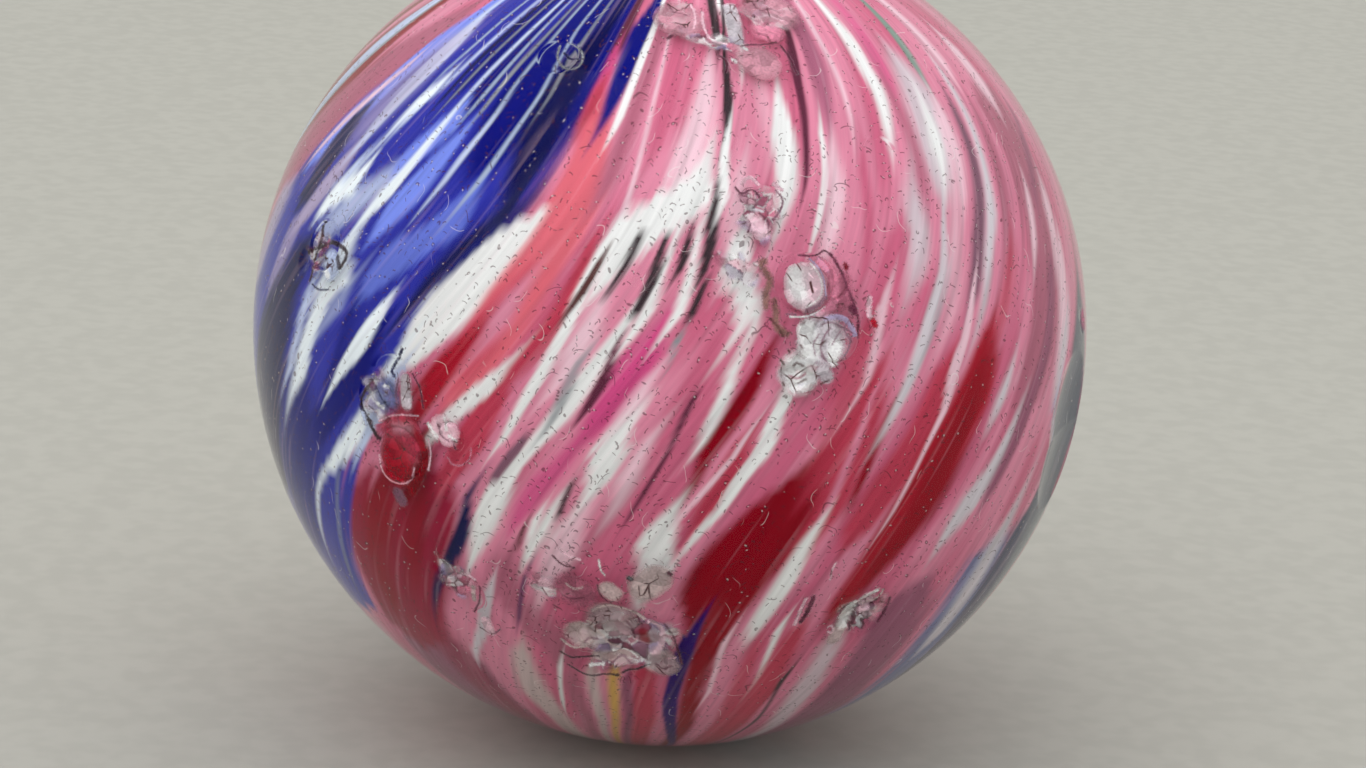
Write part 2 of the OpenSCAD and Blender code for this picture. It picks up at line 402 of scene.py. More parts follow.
def centre_high() -> list[Streak]:
    """The dark tips, pinks and whites from the top down the middle."""
    g = Glass
    return [
        streak(g.MAROON, (-14.5, 62, 3), (-15, 55, 3.4)),
        streak(g.MAGENTA, (-15.5, 53, 2.4), (-15.8, 47, 3.6), full=0.8),
        streak(g.ROSE_RED, (-16, 47, 3.2), (-16, 42, 4), soft=1.4),
        streak(g.CORAL, (-15, 42, 3.6), (-14.5, 33, 7), (-17, 26, 6), soft=1.6),
        streak(g.DEEP_BLUE, (-17, 58, 2), (-18, 50, 2.6), (-19.6, 43, 2.4), (-20.6, 38, 1.4)),
        streak(g.DEEP_BLUE, (-8.5, 64, 3.2), (-11, 58, 5.4), (-12, 52, 4.6), (-12.6, 48, 3.4),
               (-13.6, 43, 1.4), rag=0.15),
        streak(g.DUSTY_ROSE, (-6, 60, 2), (-7.5, 50, 3), (-9, 42, 3), (-11, 34, 2.5), soft=1.4),
        streak(g.WHITE, (-7.5, 61, 1.3), (-9, 54, 1.6), (-10, 48, 1.5), (-11, 43, 1.2), soft=0.4),
        streak(g.PALE_PINK, (-4, 56, 0.8), (-5, 48, 0.9), (-6, 40, 0.9), (-8, 30, 0.7), soft=0.35),
        streak(g.ROSE, (-1.5, 57, 3.6), (-2, 52, 4), (-3, 45, 4), (-4, 40, 3), soft=1.4),
        streak(g.PALE_PINK, (5, 52, 2.4), (4, 46, 4.4), (2, 40, 5), (1, 35, 6), soft=1.6),
        streak(g.WHITE, (4, 37, 2), (1, 33, 9), (-3, 30, 10), (-6.5, 26, 6), (-9.5, 21.5, 3),
               soft=1.2, rag=0.4),
        streak(g.PINK, (12, 53, 4), (13, 46, 5.4), (12.5, 40, 4.4), (11, 34, 3), soft=1.2),
        streak(g.PALE_PINK, (15.4, 51, 2), (16, 45, 3), (15.6, 40, 1.6), soft=1.4, full=0.4),
        streak(g.WHITE, (9.5, 64, 1.6), (11.5, 61, 2.6), (13, 55, 1.8), soft=0.8, rag=0.7),
        streak(g.SLIT, (7, 66, 2.2), (7.4, 61, 2.4), (8, 57, 1.4), soft=0.6, rag=0.6),
        streak(g.SLIT, (8.7, 54, 1), (8.6, 48, 1.5), (8, 42, 0.9), soft=0.4, rag=0.6),
        streak(g.SLIT, (6.2, 35.5, 0.8), (5.6, 31, 1.6), (5.1, 28, 1.5), (4.6, 25, 1.1),
               (4, 23, 0.6), soft=0.35, rag=0.6, tail=1.5),
        streak(g.SLIT, (4, 21.4, 0.7), (2.9, 18.4, 0.8), soft=0.35, rag=0.6, tail=1.5),
        streak(g.WHITE, (7.8, 41, 1), (7.2, 37, 1.6), (7.2, 33, 1.2), soft=0.4),
        streak(g.WHITE, (18.5, 47, 1.6), (18, 42, 4), (17.6, 38, 3.6), (17, 34, 2.6),
               (15.5, 30, 1.2), soft=0.8, rag=0.4),
        streak(g.PALE_PINK, (9.6, 36, 2), (9.6, 30, 4.4), (8.6, 25, 3), soft=1.4, full=0.8),
        streak(g.WHITE, (9.6, 26, 1.4), (10.2, 23, 3), (11, 19.6, 2.4), (11.4, 17, 1), soft=0.8),
        streak(g.MAROON, (27, 60, 1.2), (25, 55, 2.6), (23.6, 50, 2), (23, 46, 1.5),
               (22, 42, 1.2), (20.6, 36, 0.7), soft=0.45),
        streak(g.WHITE, (25, 42, 0.8), (24, 36, 1.1), (21, 29, 0.8), soft=0.35),
        streak(g.PALE_PINK, (26, 39, 2), (25, 33, 3.4), (22.5, 27, 2.6), soft=1.4),
        streak(g.ROSE, (31, 37, 1.6), (30, 31, 1.8), (28, 24, 1.6), soft=0.95),
        streak(g.MAUVE, (30, 58, 4), (29.4, 52, 4.4), (27.6, 45, 2.4), soft=1.4, full=0.8),
        streak(g.PALE_PINK, (33.6, 58, 1.4), (33, 50, 1.2), (32, 44, 0.8), soft=0.8),
    ]


def centre_slits() -> list[Streak]:
    """The dark slits, where deep glass shows between the streaks."""
    g = Glass
    thin = {"soft": 0.35, "rag": 0.7, "tail": 1.2}
    return [
        streak(g.SLIT, (-4.8, 27.6, 1.5), (-7, 23, 2.1), (-9, 19.5, 1.2), **thin),
        streak(g.SLIT, (-1.4, 27.6, 1.4), (-2.7, 23, 2), (-4.6, 18, 1.2), **thin),
        streak(g.SLIT, (2.1, 28.6, 0.9), (1.2, 25, 1.1), (0.7, 23.4, 0.6), **thin),
        streak(g.BROWN, (-10, 24.5, 0.5), (-12, 20, 0.9), (-14, 16.6, 0.5), **thin),
        streak(g.GREY, (1, 15, 0.9), (0.4, 11.6, 0.6), **thin),
        streak(g.MAROON, (-6.8, 14, 0.7), (-8.2, 9, 1.2), (-10.4, 4.6, 0.7), **thin),
        streak(g.MAROON, (3.2, 7, 0.6), (1.2, 2, 0.9), (0, -1, 0.8), (-2, -5, 0.8),
               (-4.4, -9.6, 0.5), **thin),
        streak(g.SLIT, (-11.8, -5.4, 0.9), (-13.2, -9.4, 1), **thin),
        streak(g.GREY_MAUVE, (-18.8, -0.6, 1.3), (-22, -5.4, 1.2), **thin),
        streak(g.BROWN, (-17.8, -11.6, 1), (-19, -14.6, 1), **thin),
    ]


def centre_middle() -> list[Streak]:
    """The mixed pinks, reds and whites round the middle of the front."""
    g = Glass
    return [
        streak(g.ROSE_RED, (-23, 14, 2), (-24.6, 11, 3), (-26.4, 8, 2.4), soft=1.2, full=0.6),
        streak(g.PINK, (-21.6, 18, 2), (-22.8, 15, 3), (-24, 12.6, 1.6), soft=1.4),
        streak(g.ROSE_RED, (-12, 26, 1.8), (-14, 18, 3), (-17, 13, 3.2), (-20, 9, 2.4), soft=1.1),
        streak(g.MAGENTA, (-1.6, 16, 2), (-3.4, 12, 5.6), (-5.4, 8, 6.2), (-8.6, 3, 4), soft=1.4),
        streak(g.ROSE, (6, 15, 3), (3.6, 9, 4.4), (1, 3, 4.4), (-1, -2, 3), soft=1.2),
        streak(g.WHITE, (-10, 26, 1), (-12.2, 20, 1.7), (-14, 14, 1.7), (-16, 10, 1.7),
               (-18, 6, 1.5), (-20.5, 0.5, 1), soft=0.4),
        streak(g.PALE_PINK, (-9.4, 19, 1.6), (-11.4, 14, 3.4), (-13.6, 9, 2), soft=1.2),
        streak(g.WHITE, (-4.5, 19, 0.9), (-8, 13, 1.9), (-11, 8, 2.6), (-14, 3, 2.6),
               (-17, -1, 1.8), (-19.5, -4.5, 1), soft=0.6),
        streak(g.GREY, (-11.8, 10.6, 0.9), (-13, 7, 1.5), (-14.6, 2.8, 0.8), soft=0.4, full=0.8),
        streak(g.PALE_PINK, (-2.6, 9, 1.6), (-4, 6, 3), (-7, 1, 2.6), soft=1.1),
        streak(g.WHITE, (-7, 2, 1.4), (-8.6, -1, 3.4), (-8, -4, 2.4), soft=0.8, rag=0.7),
        streak(g.WHITE, (8.6, 11.6, 1), (7.2, 7, 2.2), (5, 2, 1.6), soft=0.6, rag=0.5),
        streak(g.DARK_RED, (12.6, 13, 1.6), (10.2, 8, 2.6), (8, 4, 2.6), (5.4, 0, 2.2),
               (4, -4, 1.2), soft=0.8),
        streak(g.ROSE_RED, (10.4, 2, 2), (8.4, -3, 3.4), (5, -8, 3.2), (2, -12.6, 2.4), soft=0.95),
        streak(g.PALE_PINK, (10.4, 2.6, 0.6), (9, 0, 0.7), (6, -4, 0.8), (3, -8, 0.8),
               (0.8, -11.6, 0.6), soft=0.3),
        streak(g.WHITE, (17.4, 14, 1.4), (16, 9, 2.2), (14, 5, 2.1), (13, 1, 2.1), (10, -3, 1.8),
               (8, -7, 1.5), (5, -11, 1.3), (3, -14, 0.8), soft=0.4, rag=0.45),
        streak(g.MAGENTA, (-11.6, 0, 1.8), (-13, -2.4, 3.2), (-16, -6, 3.8), (-18.4, -10, 2.8),
               soft=0.95, full=0.8),
        streak(g.PINK, (-8, -6, 3.6), (-10.4, -9, 5), (-14, -15, 5.4), (-17, -20, 4.4), soft=1.6),
        streak(g.WHITE, (-19.4, -3.4, 2), (-21.4, -8, 4.2), (-23.6, -13.4, 3.4), (-26, -18, 1.4),
               soft=0.8, rag=0.5),
        streak(g.WHITE, (-16.4, -10.6, 1.4), (-17.6, -16, 1.4), soft=0.6, rag=0.6),
        streak(g.PALE_PINK, (-11.6, -11, 2), (-13, -15.6, 4), (-15, -20, 2.6), soft=1.6),
        streak(g.ROSE, (2, -11, 3), (1, -15, 3), soft=1.4),
        streak(g.WHITE, (1, -8.6, 2), (-0.6, -12, 4.4), (0, -16, 5), (-2, -20.6, 3.4),
               soft=0.95, rag=0.5),
        streak(g.ROSE_RED, (27.6, 9, 4), (26, 3, 6), (24.6, -2, 5.4), (22, -9, 4.4), (19, -15, 3),
               soft=1.6),
        streak(g.PINK, (27.4, 7, 0.8), (25, 0, 1.1), (22, -8, 0.8), soft=0.6),
        streak(g.DARK_RED, (31, 6, 1), (28, 0, 1.3), (25.6, -7, 1), soft=0.6),
        streak(g.PINK, (22.6, -12, 1.6), (20.4, -18, 2), soft=1.1),
        streak(g.WHITE, (20, -12, 1.6), (17.8, -18.6, 2.8), (16, -23, 2.6), (13.6, -29, 1.4),
               soft=0.8, rag=0.5),
        streak(g.WHITE, (0.4, 29, 0.6), (-1.2, 24, 1), (-3.4, 18, 1.6), (-5, 15, 1), soft=0.6,
               rag=0.6),
        streak(g.WHITE, (3.4, 29, 0.6), (2.6, 24, 0.9), (1, 18, 1.1), soft=0.6, rag=0.6),
        streak(g.WHITE, (8.8, 27, 1.6), (9.6, 23, 4), (9.8, 19.6, 3.4), (9.6, 17, 1.4), soft=0.9,
               rag=0.7),
        streak(g.WHITE, (-4.6, 3.6, 1.4), (-6.6, 0, 4), (-8, -4, 3), (-9, -6, 1.2), soft=0.9,
               rag=0.7),
        streak(g.PALE_PINK, (-2.4, 1, 1.4), (-4.4, -4, 2.6), (-6, -8, 1.4), soft=1.1),
        streak(g.WHITE, (-13.6, -8, 1.2), (-15.4, -12, 2.6), (-17.4, -16, 1.4), soft=0.8, rag=0.7),
    ]


def foot() -> list[Streak]:
    """The streaks that draw together towards the foot, in full light."""
    g = Glass
    return [
        streak(g.DUSTY_ROSE, (-21, -18, 4), (-21, -24, 6), (-17, -29, 7), (-14, -34, 5), soft=1.8),
        streak(g.PALE_PINK, (-11, -11, 2), (-13, -15.5, 4.4), (-15.6, -20.5, 2.4), soft=1.8, full=0.7),
        streak(g.CRIMSON, (-41, -22, 5), (-38, -32, 9), (-35, -42, 9), (-33, -52, 8), soft=2.4,
               full=0.55),
        streak(g.SHADE_WHITE, (-24.6, -24, 1.4), (-27, -31, 2.2), (-31, -37, 1.4), soft=0.6),
        streak(g.NAVY, (-18.4, -19.6, 0.8), (-20.2, -27, 0.8), soft=0.35, full=0.7),
        streak(g.ASH, (-21.6, -35, 3.6), (-22, -45, 6), (-20, -54, 5), soft=1.6, rag=0.3),
        streak(g.DUSTY_ROSE, (-14, -39, 3.4), (-13, -52, 3.4), soft=1.2),
        streak(g.WHITE, (-15, -36, 0.9), (-17, -46, 0.8), soft=0.4),
        streak(g.ASH, (-10, -36, 2), (-10, -51, 2.2), soft=0.95),
        streak(g.YELLOW, (-6.4, -36, 1.5), (-6.6, -42, 1.9), (-7, -50, 1.8), soft=0.8, rag=0.15),
        streak(g.MAUVE, (-3.8, -38, 2), (-4, -49, 2)),
        streak(g.ROSE_RED, (-1, -35, 3.6), (-1, -50, 4), soft=0.95),
        streak(g.PURPLE, (6.2, -25.6, 1.2), (5, -31, 2.6), (4, -36, 2.7), (3.5, -42, 2.6),
               (4, -48, 2.6), (7, -63, 2.2), soft=0.4, rag=0.2),
        streak(g.PINK, (12.4, -31, 3.4), (11, -40, 4.4), (12, -51, 4.4), soft=1.4),
        streak(g.PALE_PINK, (10.6, -29, 0.8), (10, -40, 0.8), soft=0.4),
        streak(g.ROSE_RED, (15.4, -30, 2), (15, -37, 3.4), (15, -50, 3.4), soft=1.2, full=0.8),
        streak(g.WHITE, (18.4, -27, 1), (17.8, -38, 0.9), soft=0.4),
        streak(g.ROSE_RED, (21.4, -28, 3.6), (19.4, -40, 5), (19, -51, 5), soft=1.2),
        streak(g.SLIT, (22.4, -38, 0.8), (23, -50, 0.8), soft=0.4),
        streak(g.SHADE_WHITE, (28.4, -30, 3.6), (28, -40, 5), (30, -56, 5), soft=1.6, full=0.8),
        streak(g.MAUVE, (36, -26, 3), (35, -40, 4), (35, -50, 4), soft=1.4),
    ]


def right_high() -> list[Streak]:
    """The long pink and white streaks, high on the right."""
    g = Glass
    return [
        streak(g.WHITE, (42, 61, 2.2), (42, 56, 3.2), (41, 51, 3.2), (41, 47, 3.2), (39, 42, 2),
               soft=1.2, rag=0.4),
        streak(g.MAGENTA, (48, 61, 3), (46, 54, 3.6), (45, 49, 3), soft=1.4, full=0.6),
        streak(g.GREY_GREEN, (59.6, 62, 1.8), (57.5, 55, 2.6), (56, 51, 2.4), (55, 48, 1.2),
               soft=0.6, rag=0.2),
        streak(g.SHADE_WHITE, (51, 51, 4), (50, 45, 9), (48, 39, 10), (45.6, 33, 5), soft=2.6,
               rag=0.35, full=0.85),
        streak(g.WHITE, (49.6, 43, 1.6), (48.4, 39, 3.4), (47.4, 36, 1.8), soft=1.4, rag=0.4),
        streak(g.SHADE_WHITE, (40, 34, 3), (38, 28, 7), (36, 22.6, 4), soft=2.6, rag=0.4, full=0.85),
        streak(g.PALE_PINK, (53, 42, 3), (51.6, 37, 3.4), (49, 31, 2), soft=1.4),
        streak(g.GREY_MAUVE, (57.4, 42, 1.6), (55.6, 36, 2.2), (53, 30.6, 3), (49.6, 25.6, 3.2),
               (46, 18.6, 2.4), soft=1.1),
        streak(g.SHADE_WHITE, (62, 47, 1.4), (60, 40, 1.8), (57, 33, 2), (54, 27, 2.6),
               (51, 23, 1.8), (47.6, 16.6, 1), soft=1.1),
        streak(g.DUSTY_ROSE, (63.6, 40, 2), (61, 33, 3), (58, 27, 3), (55, 21, 2.4), soft=1.4),
        streak(g.ROSE_RED, (56, 22, 2.4), (52, 16, 3.6), (50, 13, 2.6), soft=1.4, full=0.7),
        streak(g.PALE_PINK, (67, 55, 3), (65.6, 49, 3), soft=1.6),
        streak(g.PALE_PINK, (76, 50, 4), (74, 43, 4), soft=1.6),
        streak(g.PALE_PINK, (66, 27, 1.6), (63.4, 22, 1.6), soft=0.95),
        streak(g.PALE_PINK, (73, 26, 3), (71, 20, 3), soft=1.6),
        streak(g.MAUVE, (79, 37, 2.6), (74, 32, 2.8), (70, 28.6, 2.4), soft=1.2),
        streak(g.PINK, (41.4, 34, 2.6), (42, 27, 3.6), (40, 22, 2.4), soft=1.4),
        streak(g.SHADE_WHITE, (43, 28, 1.1), (41, 22, 1.8), (38, 17.6, 2.1), (35, 12, 1.9),
               (33, 8, 1.6), (29.6, 2.6, 1), soft=0.6, rag=0.4),
        streak(g.GREY, (41.6, 21, 0.8), (39, 17, 1.2), (37, 13.6, 0.7), soft=0.6, full=0.6),
        streak(g.DUSTY_ROSE, (43.6, 47, 2), (43, 40, 2.6), (41.6, 34, 2), soft=1.4, full=0.8),
        streak(g.ROSE, (34, 27, 4.4), (30.4, 21, 5.6), (28, 15, 5), soft=1.4),
        streak(g.ROSE_RED, (26.6, 15, 3), (24, 9, 4.6), (22, 2, 4.6), (20.6, -3, 3), soft=1.6,
               full=0.7),
        streak(g.PALE_PINK, (30, 19, 1.2), (28, 13, 1.2), (26.6, 9, 0.8), soft=0.6),
    ]


def right_low() -> list[Streak]:
    """The pale lines and patches between the dark bands, low on the right."""
    g = Glass
    return [
        streak(g.PALE_PINK, (47, 31, 1.6), (44, 24.5, 3.6), (41, 16, 2), soft=2.0, full=0.6),
        streak(g.DARK_RED, (46, 8, 2.4), (42.4, 2, 4.4), (39, -4, 5.4), (36, -11, 5.4),
               (32, -17, 3.6), soft=1.6, full=0.85),
        streak(g.PALE_PINK, (46, 19, 0.7), (43, 12.6, 1.3), (41.2, 10, 1.8), (39, 4, 1),
               (36, -1, 0.8), (34, -5, 0.8), (31.6, -10, 0.5), soft=0.35),
        streak(g.SHADE_WHITE, (54.6, 10, 1.6), (52, 6, 3.4), (49.4, 3, 2.2), soft=1.1, rag=0.45),
        streak(g.PINK, (50.4, 0.6, 2), (47, -4, 2.4), (43.6, -9.4, 3), (39, -15.6, 3.4), soft=1.2),
        streak(g.SHADE_WHITE, (53, -0.6, 1.4), (49.4, -6, 3.8), (46, -9.4, 4.8), (43, -13.6, 2.8),
               soft=1.1, rag=0.4),
        streak(g.MAUVE, (66, 17, 2.6), (62, 8, 3), (57, 2, 3.2), (54, -3, 3), (50, -9, 2.4)),
        streak(g.PINK, (58.4, 17, 2.6), (55.6, 11, 3), (53, 6, 1.6), soft=1.1),
        streak(g.PALE_PINK, (71, 18, 4), (69, 11, 4), (67, 6, 3), soft=1.6),
        streak(g.PINK, (62.6, 2, 1), (58, -5, 1.7), (55, -8, 1.7), (52.4, -13, 1), soft=0.6),
        streak(g.ROSE, (59, -6, 3.4), (56, -13.6, 4), soft=1.1),
        streak(g.SHADE_WHITE, (58, -13, 1.6), (55.4, -19, 4), (54, -25, 4.4), (53, -35, 4),
               soft=1.6, rag=0.4),
        streak(g.LILAC, (64.6, 0.6, 1), (65, -2.4, 2), (67, -6, 1), soft=0.6, rag=0.6),
        streak(g.SHADE_WHITE, (68, 8, 3), (66, 4, 3), soft=1.4, full=0.8),
    ]


def seen_streaks() -> list[Streak]:
    """Every streak of the side that faces the viewer, the lowest first."""
    return [
        *wide_fields(), *left_high(), *left_low(), *centre_high(), *centre_middle(),
        *centre_slits(), *foot(), *right_high(), *right_low(),
    ]


@dataclass
class HiddenStreaks:
    """Streaks in the same colours for the back, drawn at random round the maker's pattern.

    Attributes:
        fields: Number of broad fields.
        streaks: Number of finer streaks.
        first: Longitude where the back begins, past the right edge of the front.
        last: Longitude where it ends, past the left edge of the front.
        seed: Start of the random draw.
    """

    fields: int = 16
    streaks: int = 120
    first: float = 92.0
    last: float = 272.0
    seed: int = 11

    FIELD_GLASS = (Glass.ROSE, Glass.PINK, Glass.BLUE, Glass.DARK_RED, Glass.RED, Glass.DUSTY_ROSE,
                   Glass.ROSE_RED, Glass.MAUVE)
    STREAK_GLASS = (Glass.WHITE, Glass.WHITE, Glass.WHITE, Glass.PALE_PINK, Glass.PALE_PINK,
                    Glass.PINK, Glass.ROSE, Glass.ROSE_RED, Glass.RED, Glass.DARK_RED,
                    Glass.DEEP_BLUE, Glass.BLUE, Glass.LAVENDER, Glass.PALE_BLUE, Glass.MAUVE,
                    Glass.MAGENTA, Glass.SLIT, Glass.MAROON, Glass.GREY)

    def draw(self) -> list[Streak]:
        """Draws the back's fields, then its streaks."""
        rng = np.random.default_rng(self.seed)
        made = []
        step = (self.last - self.first) / self.fields
        for i in range(self.fields):
            flow = self.first + (i + rng.uniform(0.2, 0.8)) * step
            glass = self.FIELD_GLASS[int(rng.integers(len(self.FIELD_GLASS)))]
            made.append(self.along_flow(rng, glass, flow, rng.uniform(9, 20), (60, 110), 1.6))
        for i in range(self.streaks):
            flow = rng.uniform(self.first, self.last)
            glass = self.STREAK_GLASS[int(rng.integers(len(self.STREAK_GLASS)))]
            wide = float(rng.choice([0.8, 1.2, 2.0, 3.5, 5.0]))
            made.append(self.along_flow(rng, glass, flow, wide, (14, 60), 0.6))
        return made

    def along_flow(
        self, rng: np.random.Generator, glass: Glass, flow: float, width: float,
        lengths: tuple[float, float], soft: float,
    ) -> Streak:
        """One streak that keeps to the flow.

        Args:
            rng: The random draw.
            glass: The streak's colour.
            flow: Longitude of its middle with the twist taken off.
            width: Its greatest width in degrees.
            lengths: The shortest and the longest that it may be, in degrees of latitude.
            soft: How far its sides blend, in degrees.

        Returns:
            The streak.
        """
        length = rng.uniform(*lengths)
        top = rng.uniform(-60.0 + length / 2, 75.0)
        steps = np.linspace(top, max(top - length, -80.0), 5)
        bulge = np.array([0.4, 0.85, 1.0, 0.8, 0.35]) * width
        drift = np.cumsum(rng.normal(0.0, 0.25, len(steps)))
        lons = flow + twist(steps) + drift
        return Streak(glass, tuple(zip(lons, steps, bulge)), soft=soft, rag=0.4)


@dataclass(frozen=True)
class Mark:
    """A place on the ball, with its own directions.

    Attributes:
        lon: Longitude in degrees.
        lat: Latitude in degrees.
    """

    lon: float
    lat: float

    def axes(self) -> np.ndarray:
        """East, north and outward at the place, one row each."""
        out = directions(self.lon, self.lat)
        lo = math.radians(self.lon)
        east = np.array([math.cos(lo), math.sin(lo), 0.0])
        return np.array([east, np.cross(out, east), out])

    def beside(self, bearing: float, reach: float) -> "Mark":
        """The place that lies a distance away over the ball.

        Args:
            bearing: Direction in degrees, 0 to the south and 90 to the east.
            reach: Distance along the mark's flat, in metres.

        Returns:
            The other place.
        """
        east, north, out = self.axes()
        turn = math.asin(reach / BALL_R)
        b = math.radians(bearing)
        unit = math.sin(b) * math.sin(turn) * east - math.cos(b) * math.sin(turn) * north
        lon, lat = places((unit + math.cos(turn) * out)[None, :])
        return Mark(float(lon[0]), float(lat[0]))

    def local(self, units: np.ndarray) -> np.ndarray:
        """Directions as points on the ball, in metres east, north and outward of the place."""
        return units @ self.axes().T * BALL_R


@dataclass(frozen=True)
class Stroke:
    """A drawn line or spot in a chip or bruise: a crack, a flake, or a painted glint, lit lip or
    shadow.

    Attributes:
        glass: Its colour.
        path: Points along it, as (longitude, latitude) in degrees.
        width: Its width in degrees.
        soft: How far its sides blend, in degrees.
        rag: How rough its outline is.
    """

    glass: Glass
    path: tuple[tuple[float, float], ...]
    width: float
    soft: float = 0.1
    rag: float = 0.5

    def away(self, units: np.ndarray, reach: float) -> tuple[np.ndarray, np.ndarray]:
        """Measures how far from its middle line the places near it lie.

        Args:
            units: Directions out of the ball.
            reach: How far past its sides to look, in degrees.

        Returns:
            The rows of the places near it, and their distances in degrees.
        """
        east, north, out = Mark(*self.path[len(self.path) // 2]).axes()
        flat = np.array([east, north]).T
        knots = np.array(self.path, dtype=float)
        knots = np.degrees(directions(knots[:, 0], knots[:, 1]) @ flat)
        far = np.max(np.linalg.norm(knots, axis=1)) + self.width / 2 + reach
        rows = np.flatnonzero(units @ out > math.cos(math.radians(far)))
        points = np.degrees(units[rows] @ flat)
        for _ in range(2 if len(knots) > 2 else 0):
            quarter = knots[:-1] * 0.75 + knots[1:] * 0.25
            most = knots[:-1] * 0.25 + knots[1:] * 0.75
            inner = np.stack([quarter, most], axis=1).reshape(-1, 2)
            knots = np.vstack([knots[:1], inner, knots[-1:]])
        nearest = np.full(len(rows), np.inf)
        for start, end in zip(knots[:-1], knots[1:]):
            step = end - start
            size = max(float(step @ step), 1e-9)
            share = np.clip((points - start) @ step / size, 0.0, 1.0)
            gap = np.linalg.norm(points - start - share[:, None] * step, axis=1)
            nearest = np.minimum(nearest, gap)
        return rows, nearest


